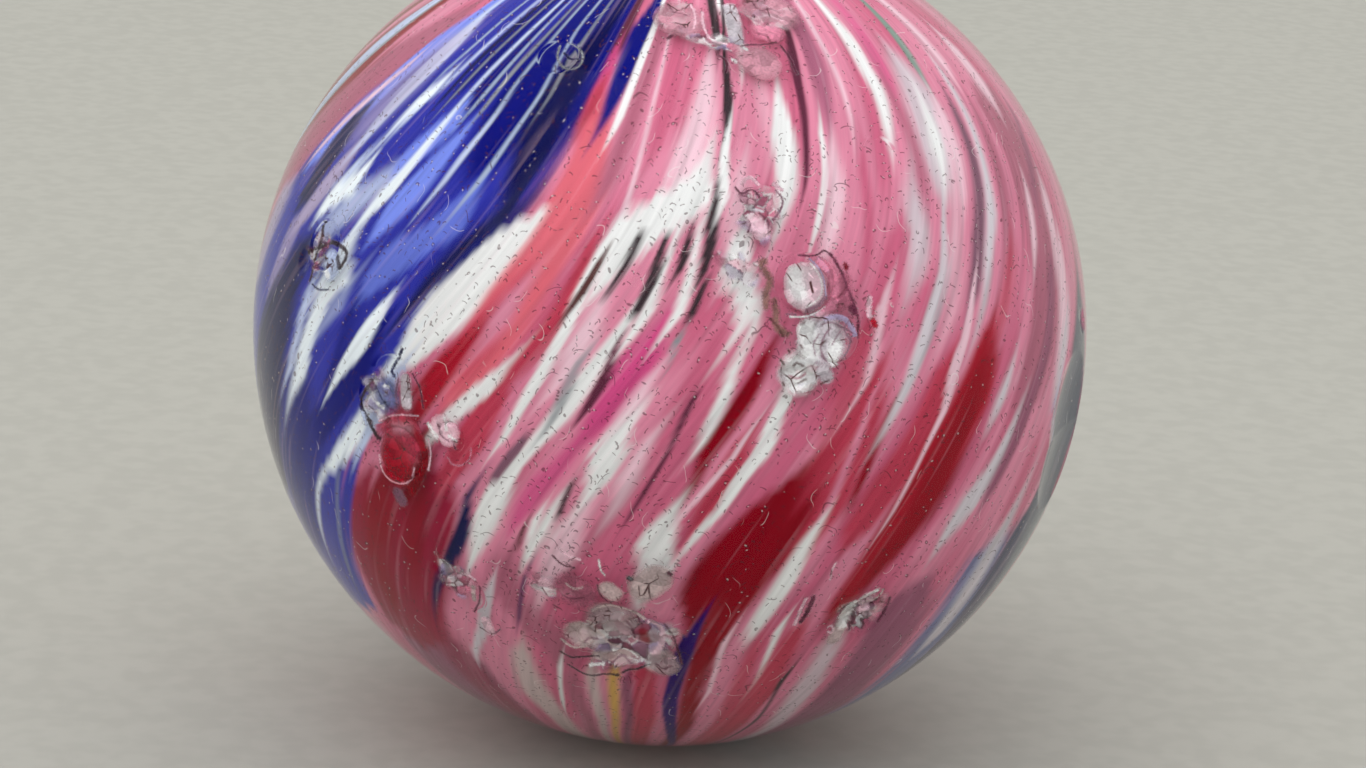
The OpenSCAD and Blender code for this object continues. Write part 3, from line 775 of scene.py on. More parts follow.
def ring_bruises() -> list[Stroke]:
    """The ring-shaped bruises right of the middle, and the crumbled glass by them."""
    g = Glass
    return [
        Stroke(g.BLUSH, ((17.8, 22.0), (17.8, 21.2)), 4.67),
        Stroke(g.WHITE, ((16.7, 23.2), (16.6, 22.0), (17.2, 20.8)), 1.9, 0.5),
        Stroke(g.PALE_PINK, ((19.4, 22.3), (19.5, 20.3)), 1.79, 0.4),
        Stroke(g.WHITE, ((19.0, 24.4), (20.2, 23.0), (20.5, 21.2), (19.7, 19.8), (18.0, 19.0)), 0.2),
        Stroke(g.LILAC, ((20.4, 24.9), (21.3, 23.5)), 0.69),
        Stroke(g.PINK, ((20.5, 24.6), (22.1, 22.8), (22.6, 20.9), (21.6, 19.0), (19.9, 17.8)), 1.24),
        Stroke(g.LILAC, ((18.9, 25.0), (20.1, 23.9), (20.8, 22.3), (20.8, 20.3)), 0.19),
        Stroke(g.GREY_MAUVE, ((20.7, 20.1), (19.7, 19.1), (18.0, 18.6)), 0.49),
        Stroke(g.WHITE, ((15.7, 17.9), (17.4, 17.7), (19.2, 18.1), (20.7, 19.0)), 0.15),
        Stroke(g.GREY_MAUVE, ((15.3, 18.2), (16.5, 18.1)), 0.16),
        Stroke(g.DUSTY_ROSE, ((23.8, 22.1), (23.5, 19.4)), 1.51, 0.5),
        Stroke(g.MAROON, ((22.1, 25.5), (23.3, 23.5), (24.0, 21.5), (24.6, 19.4), (25.3, 17.4),
                (25.1, 14.9)), 0.3, 0.15, 0.8),
        Stroke(g.DARK_RED, ((24.2, 24.0), (24.3, 23.7)), 0.69),
        Stroke(g.MAROON, ((24.4, 18.6), (24.7, 18.2)), 0.82),
        Stroke(g.PALE_PINK, ((27.2, 19.6), (27.1, 17.4)), 0.69),
        Stroke(g.RED, ((27.5, 16.7), (27.7, 16.2)), 0.69),
        Stroke(g.MAROON, ((17.4, 25.5), (19.1, 25.3), (20.3, 25.5), (21.2, 26.1), (22.1, 25.3)), 0.18),
        Stroke(g.TAN, ((12.5, 24.8), (11.8, 24.4), (13.4, 22.4), (12.4, 20.8), (12.5, 19.2)), 0.7,
               0.3, 0.8),
        Stroke(g.TAN, ((13.6, 19.8), (13.9, 18.2), (13.6, 16.7), (15.2, 15.7)), 0.7, 0.3, 0.8),
        Stroke(g.BROWN, ((13.0, 17.7), (14.1, 16.6), (14.7, 15.5)), 0.27),
        Stroke(g.SHADE_WHITE, ((19.9, 15.1), (20.2, 14.6)), 5.50),
        Stroke(g.WHITE, ((18.0, 16.1), (18.5, 13.4)), 2.47),
        Stroke(g.LILAC, ((20.6, 17.4), (22.6, 17.7), (24.0, 16.7), (24.6, 15.3)), 0.62),
        Stroke(g.GREY_MAUVE, ((21.2, 16.3), (20.2, 15.2), (19.6, 13.9), (20.1, 12.6),
                (21.2, 11.7)), 0.27),
        Stroke(g.GREY_MAUVE, ((19.5, 15.5), (18.7, 14.3), (19.0, 12.9)), 0.22),
        # painted highlights: two white spots on the lower ring bruise
        Stroke(g.WHITE, ((21.8, 14.0), (21.5, 13.3)), 1.79),
        Stroke(g.WHITE, ((21.2, 12.4), (21.5, 12.0)), 1.10),
        Stroke(g.GREY_MAUVE, ((23.1, 16.2), (24.6, 15.3)), 0.18),
        Stroke(g.GREY_MAUVE, ((23.1, 16.0), (24.0, 14.4)), 0.18),
        Stroke(g.GREY_MAUVE, ((22.6, 15.8), (21.3, 14.1)), 0.18),
        Stroke(g.GREY_MAUVE, ((22.9, 16.2), (21.3, 17.1), (19.9, 16.7)), 0.19),
        Stroke(g.GREY_MAUVE, ((23.2, 16.3), (23.9, 17.1)), 0.16),
        Stroke(g.GREY_MAUVE, ((24.1, 15.1), (23.6, 13.4), (22.6, 12.2)), 0.16),
        Stroke(g.WHITE, ((16.5, 11.1), (16.9, 10.4)), 4.12),
        Stroke(g.BROWN, ((15.4, 13.7), (15.6, 13.4)), 0.25),
        Stroke(g.BROWN, ((14.4, 12.5), (14.8, 12.0)), 0.25),
        Stroke(g.BROWN, ((17.0, 14.3), (17.3, 13.9)), 0.25),
        Stroke(g.BROWN, ((14.7, 9.7), (14.9, 9.3)), 0.25),
        Stroke(g.BROWN, ((16.1, 11.7), (16.5, 12.2), (17.3, 11.7)), 0.27),
        Stroke(g.DUSTY_ROSE, ((15.6, 10.5), (16.8, 10.0), (17.7, 10.7)), 0.25),
        Stroke(g.BROWN, ((16.9, 9.5), (17.7, 10.0)), 0.25),
        Stroke(g.SHADE_WHITE, ((20.0, 10.9), (20.5, 10.3)), 1.65),
        Stroke(g.BROWN, ((19.7, 9.4), (20.8, 9.8)), 0.25),
        Stroke(g.MAROON, ((8.8, 34.4), (9.7, 33.4), (11.2, 34.2), (12.4, 33.1)), 0.21),
        Stroke(g.PALE_PINK, ((9.8, 35.0), (11.1, 35.8), (12.2, 34.7)), 0.41),
        Stroke(g.PALE_PINK, ((11.5, 29.8), (12.3, 28.7)), 2.20),
        Stroke(g.MAROON, ((9.8, 30.8), (10.9, 29.8), (10.3, 28.5)), 0.18),
        Stroke(g.MAROON, ((12.2, 31.0), (13.6, 30.0), (13.2, 28.5)), 0.18),
        Stroke(g.SHADE_WHITE, ((11.0, 31.6), (12.8, 31.3)), 0.41),
        Stroke(g.GREY_MAUVE, ((14.9, 33.9), (16.0, 32.6), (15.2, 31.0), (13.9, 30.0)), 0.19),
        Stroke(g.PALE_PINK, ((14.7, 34.7), (15.8, 33.9)), 0.41),
    ]


def crushed_chips() -> list[Stroke]:
    """The big crushed chip, the fan chip and the cracks near them."""
    g = Glass
    return [
        Stroke(g.DUSTY_ROSE, ((-11.7, -19.8), (-10.4, -20.6)), 4.12),
        Stroke(g.ASH, ((-6.5, -19.4), (-5.8, -20.0)), 2.20),
        Stroke(g.ASH, ((-1.5, -18.6), (-0.2, -17.3)), 4.12),
        Stroke(g.DIM_ASH, ((-6.8, -24.5), (-5.3, -24.9)), 4.67),
        Stroke(g.ASH, ((-11.0, -27.7), (-10.2, -28.7)), 3.4),
        Stroke(g.ASH, ((-8.0, -32.4), (-4.6, -32.4)), 2.06),
        Stroke(g.DIM_ASH, ((1.1, -31.5), (2.1, -33.2)), 3.4),
        Stroke(g.ASH, ((-8.7, -23.4), (-6.5, -22.2), (-3.6, -22.5), (-1.5, -24.5)), 0.41),
        Stroke(g.ASH, ((-9.5, -25.3), (-8.5, -27.1), (-7.1, -29.6), (-5.2, -30.4)), 0.41),
        Stroke(g.MAROON, ((-4.1, -25.3), (-3.1, -26.5), (-2.8, -28.6)), 0.25),
        Stroke(g.MAROON, ((-2.5, -24.1), (-1.6, -26.0), (-2.2, -28.9)), 0.22),
        Stroke(g.DARK_RED, ((-1.6, -27.1), (-1.2, -28.8)), 1.24),
        Stroke(g.PALE_PINK, ((-0.6, -25.0), (1.1, -25.8), (1.4, -28.6), (0.3, -31.3)), 0.82),
        Stroke(g.MAROON, ((1.5, -24.9), (2.7, -27.2), (3.7, -29.7), (4.5, -32.4)), 0.27),
        Stroke(g.SLIT, ((-14.2, -31.8), (-12.6, -32.8), (-10.6, -33.0), (-8.3, -32.5)), 0.27),
        Stroke(g.SLIT, ((-13.3, -34.4), (-11.4, -35.9), (-9.6, -36.5), (-7.0, -35.4),
                (-5.4, -35.9)), 0.27),
        Stroke(g.SLIT, ((-4.7, -35.6), (-2.5, -34.4), (-0.4, -33.1)), 0.25),
        Stroke(g.GREY_MAUVE, ((-10.4, -29.9), (-9.6, -28.8), (-8.4, -29.2)), 0.25),
        Stroke(g.ASH, ((-13.6, -29.3), (-12.5, -30.5), (-10.5, -30.7)), 0.33),
        Stroke(g.WHITE, ((-9.8, -34.4), (-7.7, -33.9)), 0.41),
        Stroke(g.WHITE, ((-6.1, -31.1), (-3.7, -31.1), (-2.4, -32.4)), 0.41),
        Stroke(g.GREY_MAUVE, ((-6.6, -34.0), (-4.9, -32.0), (-3.3, -33.6)), 0.25),
        Stroke(g.PALE_PINK, ((2.3, -32.3), (3.3, -31.0)), 0.33),
        Stroke(g.MAROON, ((0.4, -33.3), (1.8, -34.1), (3.0, -33.1)), 0.22),
        Stroke(g.ASH, ((-12.2, -19.2), (-11.1, -20.0), (-10.0, -19.5)), 0.33),
        Stroke(g.MAROON, ((-12.9, -21.2), (-11.5, -21.7), (-9.8, -21.1)), 0.19),
        Stroke(g.MAROON, ((-7.9, -18.9), (-7.6, -20.5), (-6.5, -21.4)), 0.19),
        Stroke(g.SLIT, ((-3.7, -17.4), (-3.4, -17.5)), 0.69),
        Stroke(g.GREY, ((-3.7, -17.2), (-3.5, -17.4)), 0.27),
        Stroke(g.MAROON, ((1.5, -16.2), (1.7, -16.4)), 0.55),
        Stroke(g.WHITE, ((-7.7, -14.9), (-7.5, -16.5), (-6.9, -17.2)), 0.19),
        Stroke(g.ASH, ((28.6, -24.4), (28.2, -26.6), (27.6, -28.6)), 2.0, 0.3),
        Stroke(g.WHITE, ((28.9, -23.1), (28.8, -24.6), (28.5, -26.4)), 1.7, 0.3),
        Stroke(g.MAROON, ((30.2, -23.6), (30.3, -25.4), (30.0, -27.6)), 0.45, 0.2),
        Stroke(g.PALE_PINK, ((30.9, -21.7), (31.3, -22.8), (31.3, -24.4)), 1.7, 0.4),
        Stroke(g.WHITE, ((29.9, -21.9), (30.9, -21.1), (32.0, -20.6)), 0.45, 0.2),
        Stroke(g.MAROON, ((32.5, -22.4), (32.4, -25.2), (32.0, -27.6)), 0.5, 0.3),
        Stroke(g.ROSE_ASH, ((33.5, -21.9), (33.7, -23.8), (33.3, -26.0)), 0.8, 0.3),
        Stroke(g.MAROON, ((34.7, -22.4), (34.8, -24.4), (34.4, -26.6)), 0.3, 0.2),
        Stroke(g.PALE_PINK, ((23.8, -17.8), (23.7, -16.4), (24.0, -15.3)), 0.22),
        # painted shadow: maroon crescent under the pale curls; painted highlight: the pale lip beside
        # it
        Stroke(g.MAROON, ((21.9, -20.5), (21.7, -22.7), (21.0, -24.6)), 0.62),
        Stroke(g.PALE_PINK, ((20.8, -20.8), (20.4, -22.8), (20.2, -25.1)), 0.41),
        Stroke(g.PALE_PINK, ((25.7, -26.4), (26.3, -26.1), (27.0, -27.0), (26.8, -27.7),
                (26.0, -27.2)), 0.25),
        Stroke(g.ASH, ((32.9, -20.7), (32.5, -22.3), (31.1, -23.1), (29.5, -23.2),
                (29.0, -24.5), (27.4, -25.7)), 0.25),
        Stroke(g.MAROON, ((-26.7, -20.7), (-25.3, -21.7), (-25.5, -24.5), (-27.1, -27.0)), 0.19),
        Stroke(g.ASH, ((-26.4, -22.6), (-26.6, -24.7)), 0.55),
        Stroke(g.PALE_PINK, ((-28.4, -21.3), (-27.0, -20.4), (-25.8, -21.2)), 0.41),
        Stroke(g.PALE_PINK, ((-25.5, -28.4), (-25.3, -30.3)), 1.37),
        Stroke(g.GREY_MAUVE, ((-26.9, -29.9), (-25.2, -31.0), (-23.4, -29.4)), 0.19),
        Stroke(g.PALE_PINK, ((-13.3, -13.8), (-12.0, -14.8), (-10.2, -15.2)), 0.27),
        Stroke(g.MAROON, ((-13.9, -15.1), (-12.6, -16.4), (-11.0, -16.5)), 0.19),
    ]


def left_bruises() -> list[Stroke]:
    """The bruises on the left and the faint ring above them."""
    g = Glass
    return [
        Stroke(g.BLUE_GREY, ((-38.5, 2.6), (-38.1, 1.5)), 3.57),
        Stroke(g.SLIT, ((-41.3, 3.5), (-43.3, 0.3), (-41.3, -1.8), (-39.5, -3.8)), 0.55),
        Stroke(g.NAVY, ((-40.1, 2.9), (-38.6, 1.1), (-36.8, 0.5)), 0.33),
        # painted highlights: two white glints on the grey-blue crushed glass
        Stroke(g.WHITE, ((-40.0, 0.8), (-39.0, 0.4)), 0.55),
        Stroke(g.WHITE, ((-38.9, 3.5), (-38.0, 3.4)), 0.41),
        Stroke(g.PALE_BLUE, ((-42.5, -1.0), (-41.7, -2.3)), 0.41),
        Stroke(g.SHADE_WHITE, ((-35.3, 5.0), (-34.9, 2.0)), 1.51),
        Stroke(g.GREY_MAUVE, ((-36.5, 4.9), (-36.8, 2.7), (-36.0, 0.9)), 0.22),
        Stroke(g.MAROON, ((-34.3, 6.0), (-32.8, 4.4), (-32.2, 2.0)), 0.22),
        Stroke(g.NAVY, ((-36.4, 8.7), (-37.0, 7.2), (-37.8, 5.6), (-37.2, 5.1)), 0.41),
        # painted highlight: the red bruise's upper part in a lighter red than its foot
        Stroke(g.ROSE_RED, ((-35.7, -2.2), (-35.1, -2.9)), 6.05),
        Stroke(g.RED, ((-36.8, -5.7), (-36.4, -7.0)), 4.67),
        Stroke(g.DARK_RED, ((-35.1, -0.7), (-32.8, -1.9), (-31.7, -4.1), (-32.6, -6.8),
                (-34.1, -9.7)), 1.24),
        Stroke(g.PALE_PINK, ((-39.6, -6.0), (-39.1, -8.4), (-37.1, -9.4), (-34.3, -8.7),
                (-33.5, -6.3)), 0.15),
        Stroke(g.PALE_PINK, ((-39.5, -1.4), (-36.8, 0.2), (-32.9, 0.8)), 0.15),
        Stroke(g.MAROON, ((-36.1, -0.3), (-35.6, -2.6)), 0.16),
        Stroke(g.ROSE_ASH, ((-36.6, -1.6), (-34.4, -1.2)), 1.2, 0.9),
        Stroke(g.GREY_MAUVE, ((-36.6, -10.7), (-36.1, -11.5)), 1.65),
        Stroke(g.PALE_PINK, ((-31.2, -2.0), (-30.8, -3.9), (-31.3, -6.1)), 0.16),
        Stroke(g.PALE_PINK, ((-29.3, -0.0), (-28.4, -0.6)), 3.02),
        Stroke(g.WHITE, ((-31.3, 0.1), (-30.0, -1.4)), 0.41),
        Stroke(g.WHITE, ((-28.9, 1.4), (-28.6, -0.1)), 0.41),
        Stroke(g.MAROON, ((-29.9, 0.4), (-29.4, -1.1), (-28.2, -1.6)), 0.19),
        Stroke(g.MAROON, ((-27.5, -1.8), (-27.2, -2.4)), 0.22),
        Stroke(g.WHITE, ((-28.2, -0.9), (-27.1, -1.4)), 0.41),
        Stroke(g.PINK, ((-28.3, -3.8), (-27.5, -4.7), (-26.0, -4.4), (-24.9, -3.1),
                (-24.9, -1.9)), 0.15),
        Stroke(g.PALE_BLUE, ((-53.4, 16.3), (-52.8, 15.7)), 3.02),
        Stroke(g.WHITE, ((-53.9, 15.1), (-53.0, 14.5)), 0.82),
        Stroke(g.SLIT, ((-58.0, 20.6), (-57.6, 19.3), (-57.5, 17.5)), 0.62),
        Stroke(g.SLIT, ((-57.5, 17.5), (-57.5, 15.7), (-57.1, 13.9), (-57.2, 13.0)), 0.44),
        Stroke(g.SLIT, ((-60.0, 16.1), (-57.2, 17.5), (-54.7, 18.9), (-51.5, 18.8), (-50.0, 18.2),
                (-50.7, 16.3)), 0.55),
        Stroke(g.SLIT, ((-52.2, 17.3), (-51.1, 16.2)), 0.69),
        Stroke(g.GREY, ((-55.9, 16.8), (-54.4, 16.6)), 0.27),
        Stroke(g.NAVY, ((-56.4, 12.6), (-54.4, 12.3), (-52.3, 12.9)), 0.19),
        Stroke(g.GREY, ((-27.1, 52.7), (-26.8, 51.0), (-24.3, 49.3), (-21.3, 49.3), (-20.5, 51.0),
                (-22.5, 52.9), (-25.9, 53.6)), 0.22),
        Stroke(g.NAVY, ((-25.5, 51.8), (-23.4, 50.7), (-22.0, 51.2)), 0.22),
    ]


def top_bruises() -> list[Stroke]:
    """The crushed glass near the top."""
    g = Glass
    return [
        Stroke(g.ROSE_ASH, ((-2.7, 60.2), (-1.1, 59.5)), 5.22),
        Stroke(g.ROSE_ASH, ((21.9, 62.6), (24.6, 61.3)), 5.50),
        Stroke(g.PALE_PINK, ((4.1, 61.3), (4.4, 58.2), (6.1, 56.5), (9.4, 55.6)), 0.30),
        Stroke(g.SHADE_WHITE, ((11.9, 62.2), (12.1, 56.9)), 1.65),
        Stroke(g.PINK, ((19.6, 58.0), (20.5, 57.6)), 3.30),
        Stroke(g.ROSE_ASH, ((15.2, 52.8), (16.3, 52.1)), 4.6, 0.8),
        Stroke(g.MAROON, ((21.8, 55.1), (22.9, 53.0), (23.1, 50.4)), 0.27),
        Stroke(g.MAROON, ((12.8, 55.5), (15.3, 55.9), (17.9, 55.3), (21.0, 55.8)), 0.22),
        # painted highlights: three white glints among the crumbs
        Stroke(g.WHITE, ((5.9, 56.8), (6.4, 56.5)), 0.41),
        Stroke(g.WHITE, ((10.2, 52.8), (10.8, 52.4)), 0.41),
        Stroke(g.WHITE, ((13.4, 55.2), (13.8, 54.8)), 0.41),
        Stroke(g.MAROON, ((-3.9, 56.1), (-3.1, 56.5)), 0.41),
        Stroke(g.MAROON, ((-5.3, 62.5), (-3.3, 61.0), (-0.1, 60.7)), 0.21),
        Stroke(g.PALE_PINK, ((0.8, 62.8), (2.5, 60.8), (2.0, 58.5)), 0.25),
        Stroke(g.MAROON, ((18.9, 63.4), (19.7, 61.8), (23.4, 62.1), (25.7, 61.3)), 0.21),
        Stroke(g.PALE_PINK, ((18.4, 60.6), (22.0, 61.0), (25.1, 59.7)), 0.25),
        Stroke(g.MAROON, ((7.6, 53.4), (9.1, 52.4), (8.5, 50.8)), 0.21),
    ]


def bruise_strokes() -> list[Stroke]:
    """Every drawn line of the bruises and chips, the lowest first."""
    return [*ring_bruises(), *crushed_chips(), *left_bruises(), *top_bruises()]


def rim_height(width: float) -> float:
    """Height of a mark's rim above the ball's centre."""
    return math.sqrt(BALL_R**2 - (width / 2) ** 2)


@dataclass(frozen=True)
class Bowl:
    """A round bowl, as a shell-shaped chip leaves it: its place, width and depth."""

    at: Mark
    width: float
    depth: float

    def reach(self) -> float:
        """How far from its place it changes the ball."""
        return self.width / 2

    def cut(self, units: np.ndarray) -> np.ndarray:
        """The ball's radius in each direction, once the bowl is cut."""
        bowl_r = ((self.width / 2) ** 2 + self.depth**2) / (2 * self.depth)
        centre = rim_height(self.width) + bowl_r - self.depth
        along = units @ self.at.axes()[2]
        root = bowl_r**2 - centre**2 * (1.0 - along**2)
        cut = centre * along - np.sqrt(np.clip(root, 0.0, None))
        hit = (root > 0.0) & (along > 0.0)
        return np.where(hit, np.minimum(cut, BALL_R), BALL_R)


@dataclass(frozen=True)
class Ring:
    """A V-shaped groove along a ring or part of one, as a ring-shaped crack opens to the surface.

    Attributes:
        at: Its place.
        width: Width of the ring.
        start: Where a part ring starts, in degrees from east towards north.
        sweep: How far it runs.
        opening: Width of the groove at the surface.
        depth: Depth of the groove.
    """

    at: Mark
    width: float
    start: float = 0.0
    sweep: float = FULL_TURN
    opening: float = 0.24 * MM
    depth: float = 0.14 * MM

    def reach(self) -> float:
        """How far from its place it changes the ball."""
        return self.width / 2 + self.opening

    def cut(self, units: np.ndarray) -> np.ndarray:
        """The ball's radius in each direction, once the groove is cut."""
        east, north, out = self.at.local(units).T
        away = np.hypot(east, north)
        wall = rim_height(self.width) - self.depth
        wall = wall + 2 * self.depth * np.abs(away - self.width / 2) / self.opening
        angle = (np.degrees(np.arctan2(north, east)) - self.start) % FULL_TURN
        inside = (out > 0.0) & (wall < out) & (angle <= self.sweep)
        share = np.where(inside, wall / np.where(out > 0.0, out, 1.0), 1.0)
        return BALL_R * share


@dataclass(frozen=True)
class Fan:
    """Grooves that spread over a bowl's floor, like a fan.

    Attributes:
        at: Place of the bowl.
        width: The bowl's width.
        depth: The bowl's depth.
        grooves: Number of grooves.
        groove: Width of each.
        length: Length of each.
        root: How far behind the bowl's middle they start.
        angle: Angle between the outer two.
    """

    at: Mark
    width: float
    depth: float
    grooves: int = 5
    groove: float = 0.3 * MM
    length: float = 2.0 * MM
    root: float = 0.9 * MM
    angle: float = 80.0

    def reach(self) -> float:
        """How far from its place it changes the ball."""
        return self.width / 2

    def cut(self, units: np.ndarray) -> np.ndarray:
        """The ball's radius in each direction, once the grooves are cut."""
        east, north, out = self.at.local(units).T
        floor = rim_height(self.width) - self.depth
        lowest = np.full(len(units), BALL_R)
        for i in range(self.grooves):
            turn = math.radians(i * self.angle / (self.grooves - 1) - self.angle / 2)
            along = (east + self.root) * math.cos(turn) + north * math.sin(turn)
            aside = north * math.cos(turn) - (east + self.root) * math.sin(turn)
            deep = np.sqrt(np.clip((self.groove / 2) ** 2 - aside**2, 0.0, None))
            inside = (along > 0.0) & (along < self.length) & (deep > 0.0) & (out > 0.0)
            lowest = np.where(inside, np.minimum(lowest, BALL_R * (floor - deep) / out), lowest)
        return lowest


@dataclass
class Paint:
    """Colours laid over each other on clear ground.

    Attributes:
        colour: Linear colours, one row for each place.
        cover: How much of the ground each hides, from 0 to 1.
    """

    colour: np.ndarray
    cover: np.ndarray

    @classmethod
    def clear(cls, count: int) -> "Paint":
        """No paint yet on this many places."""
        return cls(np.tile(Glass.SHADE_WHITE.light(), (count, 1)), np.zeros(count))

    def lay(self, rows: np.ndarray, top: np.ndarray, cover: np.ndarray) -> None:
        """Lays a colour over what is there.

        Args:
            rows: The places that it lies on.
            top: One colour, or a colour for each.
            cover: How much of what is under it it hides at each.
        """
        total = self.cover[rows] * (1 - cover) + cover
        share = (cover / np.maximum(total, 1e-6))[:, None]
        self.colour[rows] = self.colour[rows] * (1 - share) + top * share
        self.cover[rows] = total


@dataclass(frozen=True)
class Crush:
    """A patch of broken glass: flat flakes at random heights and tilts.

    Attributes:
        at: Its place.
        width: Its width from east to west.
        height: Its width from north to south.
        rise: How far the flakes' heights differ.
        flakes: Number of flakes.
        lean: Turn of the patch, in degrees from east towards north.
        frost: How white and dull the broken glass is, from 0 to 1.
    """

    at: Mark
    width: float
    height: float
    rise: float
    flakes: int
    lean: float = 0.0
    frost: float = 1.0

    TINTS = (Glass.WHITE, Glass.SHADE_WHITE, Glass.SHADE_WHITE, Glass.PALE_PINK, Glass.PINK,
             Glass.LILAC, Glass.GREY_MAUVE, Glass.DUSTY_ROSE)
    # SHADING: painted shading, how fast a flake's colour darkens away from its side towards the lamp
    SHADING = 2.4

    def reach(self) -> float:
        """How far from its place it changes the ball."""
        return max(self.width, self.height) / 2

    def inside(self, units: np.ndarray) -> tuple[np.ndarray, np.ndarray, np.ndarray]:
        """Places in the patch's own directions, and how deep in the patch each lies.

        Args:
            units: Directions out of the ball.

        Returns:
            Metres along the patch, metres across it, and 1 in its middle down to 0 outside.
        """
        east, north, out = self.at.local(units).T
        turn = math.radians(self.lean)
        along = east * math.cos(turn) + north * math.sin(turn)
        across = north * math.cos(turn) - east * math.sin(turn)
        away = np.hypot(along / (self.width / 2), across / (self.height / 2))
        wobble = 0.12 * np.sin(5 * np.arctan2(across, along) + self.at.lon)
        return along, across, np.where(out > 0.0, ramp(away + wobble, 1.0, 0.45), 0.0)

    def cells(self, units: np.ndarray) -> tuple[np.ndarray, ...]:
        """Finds the flake that each place belongs to.

        Args:
            units: Directions out of the ball.

        Returns:
            Rows of the places in the patch, how deep in it each lies, the number of its flake,
            its distance from the flake's middle along and across, and from the next flake.
        """
        along, across, within = self.inside(units)
        rng = self.draw()
        x = rng.uniform(-0.5, 0.5, self.flakes) * self.width
        y = rng.uniform(-0.5, 0.5, self.flakes) * self.height
        rows = np.flatnonzero(within > 0.0)
        dx = along[rows, None] - x
        dy = across[rows, None] - y
        gaps = np.hypot(dx, dy)
        order = np.argsort(gaps, axis=1)[:, :2]
        each = np.arange(len(rows))
        near = order[:, 0]
        border = gaps[each, order[:, 1]] - gaps[each, near]
        return rows, within[rows], near, dx[each, near], dy[each, near], border

    def draw(self) -> np.random.Generator:
        """A random draw of the patch's own."""
        return np.random.default_rng(int(abs(self.at.lon * 7 + self.at.lat * 13)) + self.flakes)

    def drop(self, units: np.ndarray) -> np.ndarray:
        """How far each place lies below the cut surface."""
        rows, within, near, dx, dy, _ = self.cells(units)
        rng = np.random.default_rng(self.flakes)
        base = rng.uniform(0.1, 1.0, self.flakes) * self.rise
        slope = rng.normal(0.0, 0.16, (self.flakes, 2))
        tilt = dx * slope[near, 0] + dy * slope[near, 1]
        low = np.zeros(len(units))
        low[rows] = np.clip(base[near] + tilt, 0.0, 1.6 * self.rise) * within
        return low

    def tint(self, units: np.ndarray, paint: Paint) -> None:
        """Paints the flakes pale and mauve by turns, with painted shading on each flake, and
        painted shade and painted highlights in the creases between.

        Args:
            units: Directions out of the ball.
            paint: Paint so far, one row for each.
        """
        rows, within, near, dx, dy, border = self.cells(units)
        rng = np.random.default_rng(self.flakes + 5)
        tints = np.array([glass.light() for glass in self.TINTS])
        tint = tints[rng.integers(len(tints), size=self.flakes)][near]
        amount = rng.uniform(0.1, 0.8, self.flakes)[near] * self.frost * ramp(within, 0.1, 0.9)
        # painted shading: each flake lighter on its side towards the lamp and darker on the far side
        lean = np.clip(1.0 + (dy - dx) * self.SHADING / self.width, 0.6, 1.3)[:, None]
        paint.lay(rows, tint * lean, amount)
        # the creases between flakes: painted shade (maroon) on some, painted highlights (white) on
        # others
        crease = ramp(border, 0.12 * MM, 0.03 * MM) * ramp(within, 0.3, 0.9) * self.frost
        dark = crease * (rng.uniform(0.0, 1.0, self.flakes) < 0.55)[near]
        paint.lay(rows, Glass.MAROON.light(), 0.7 * dark)
        lit = crease * (rng.uniform(0.0, 1.0, self.flakes) < 0.4)[near]
        paint.lay(rows, Glass.WHITE.light(), 0.7 * lit)


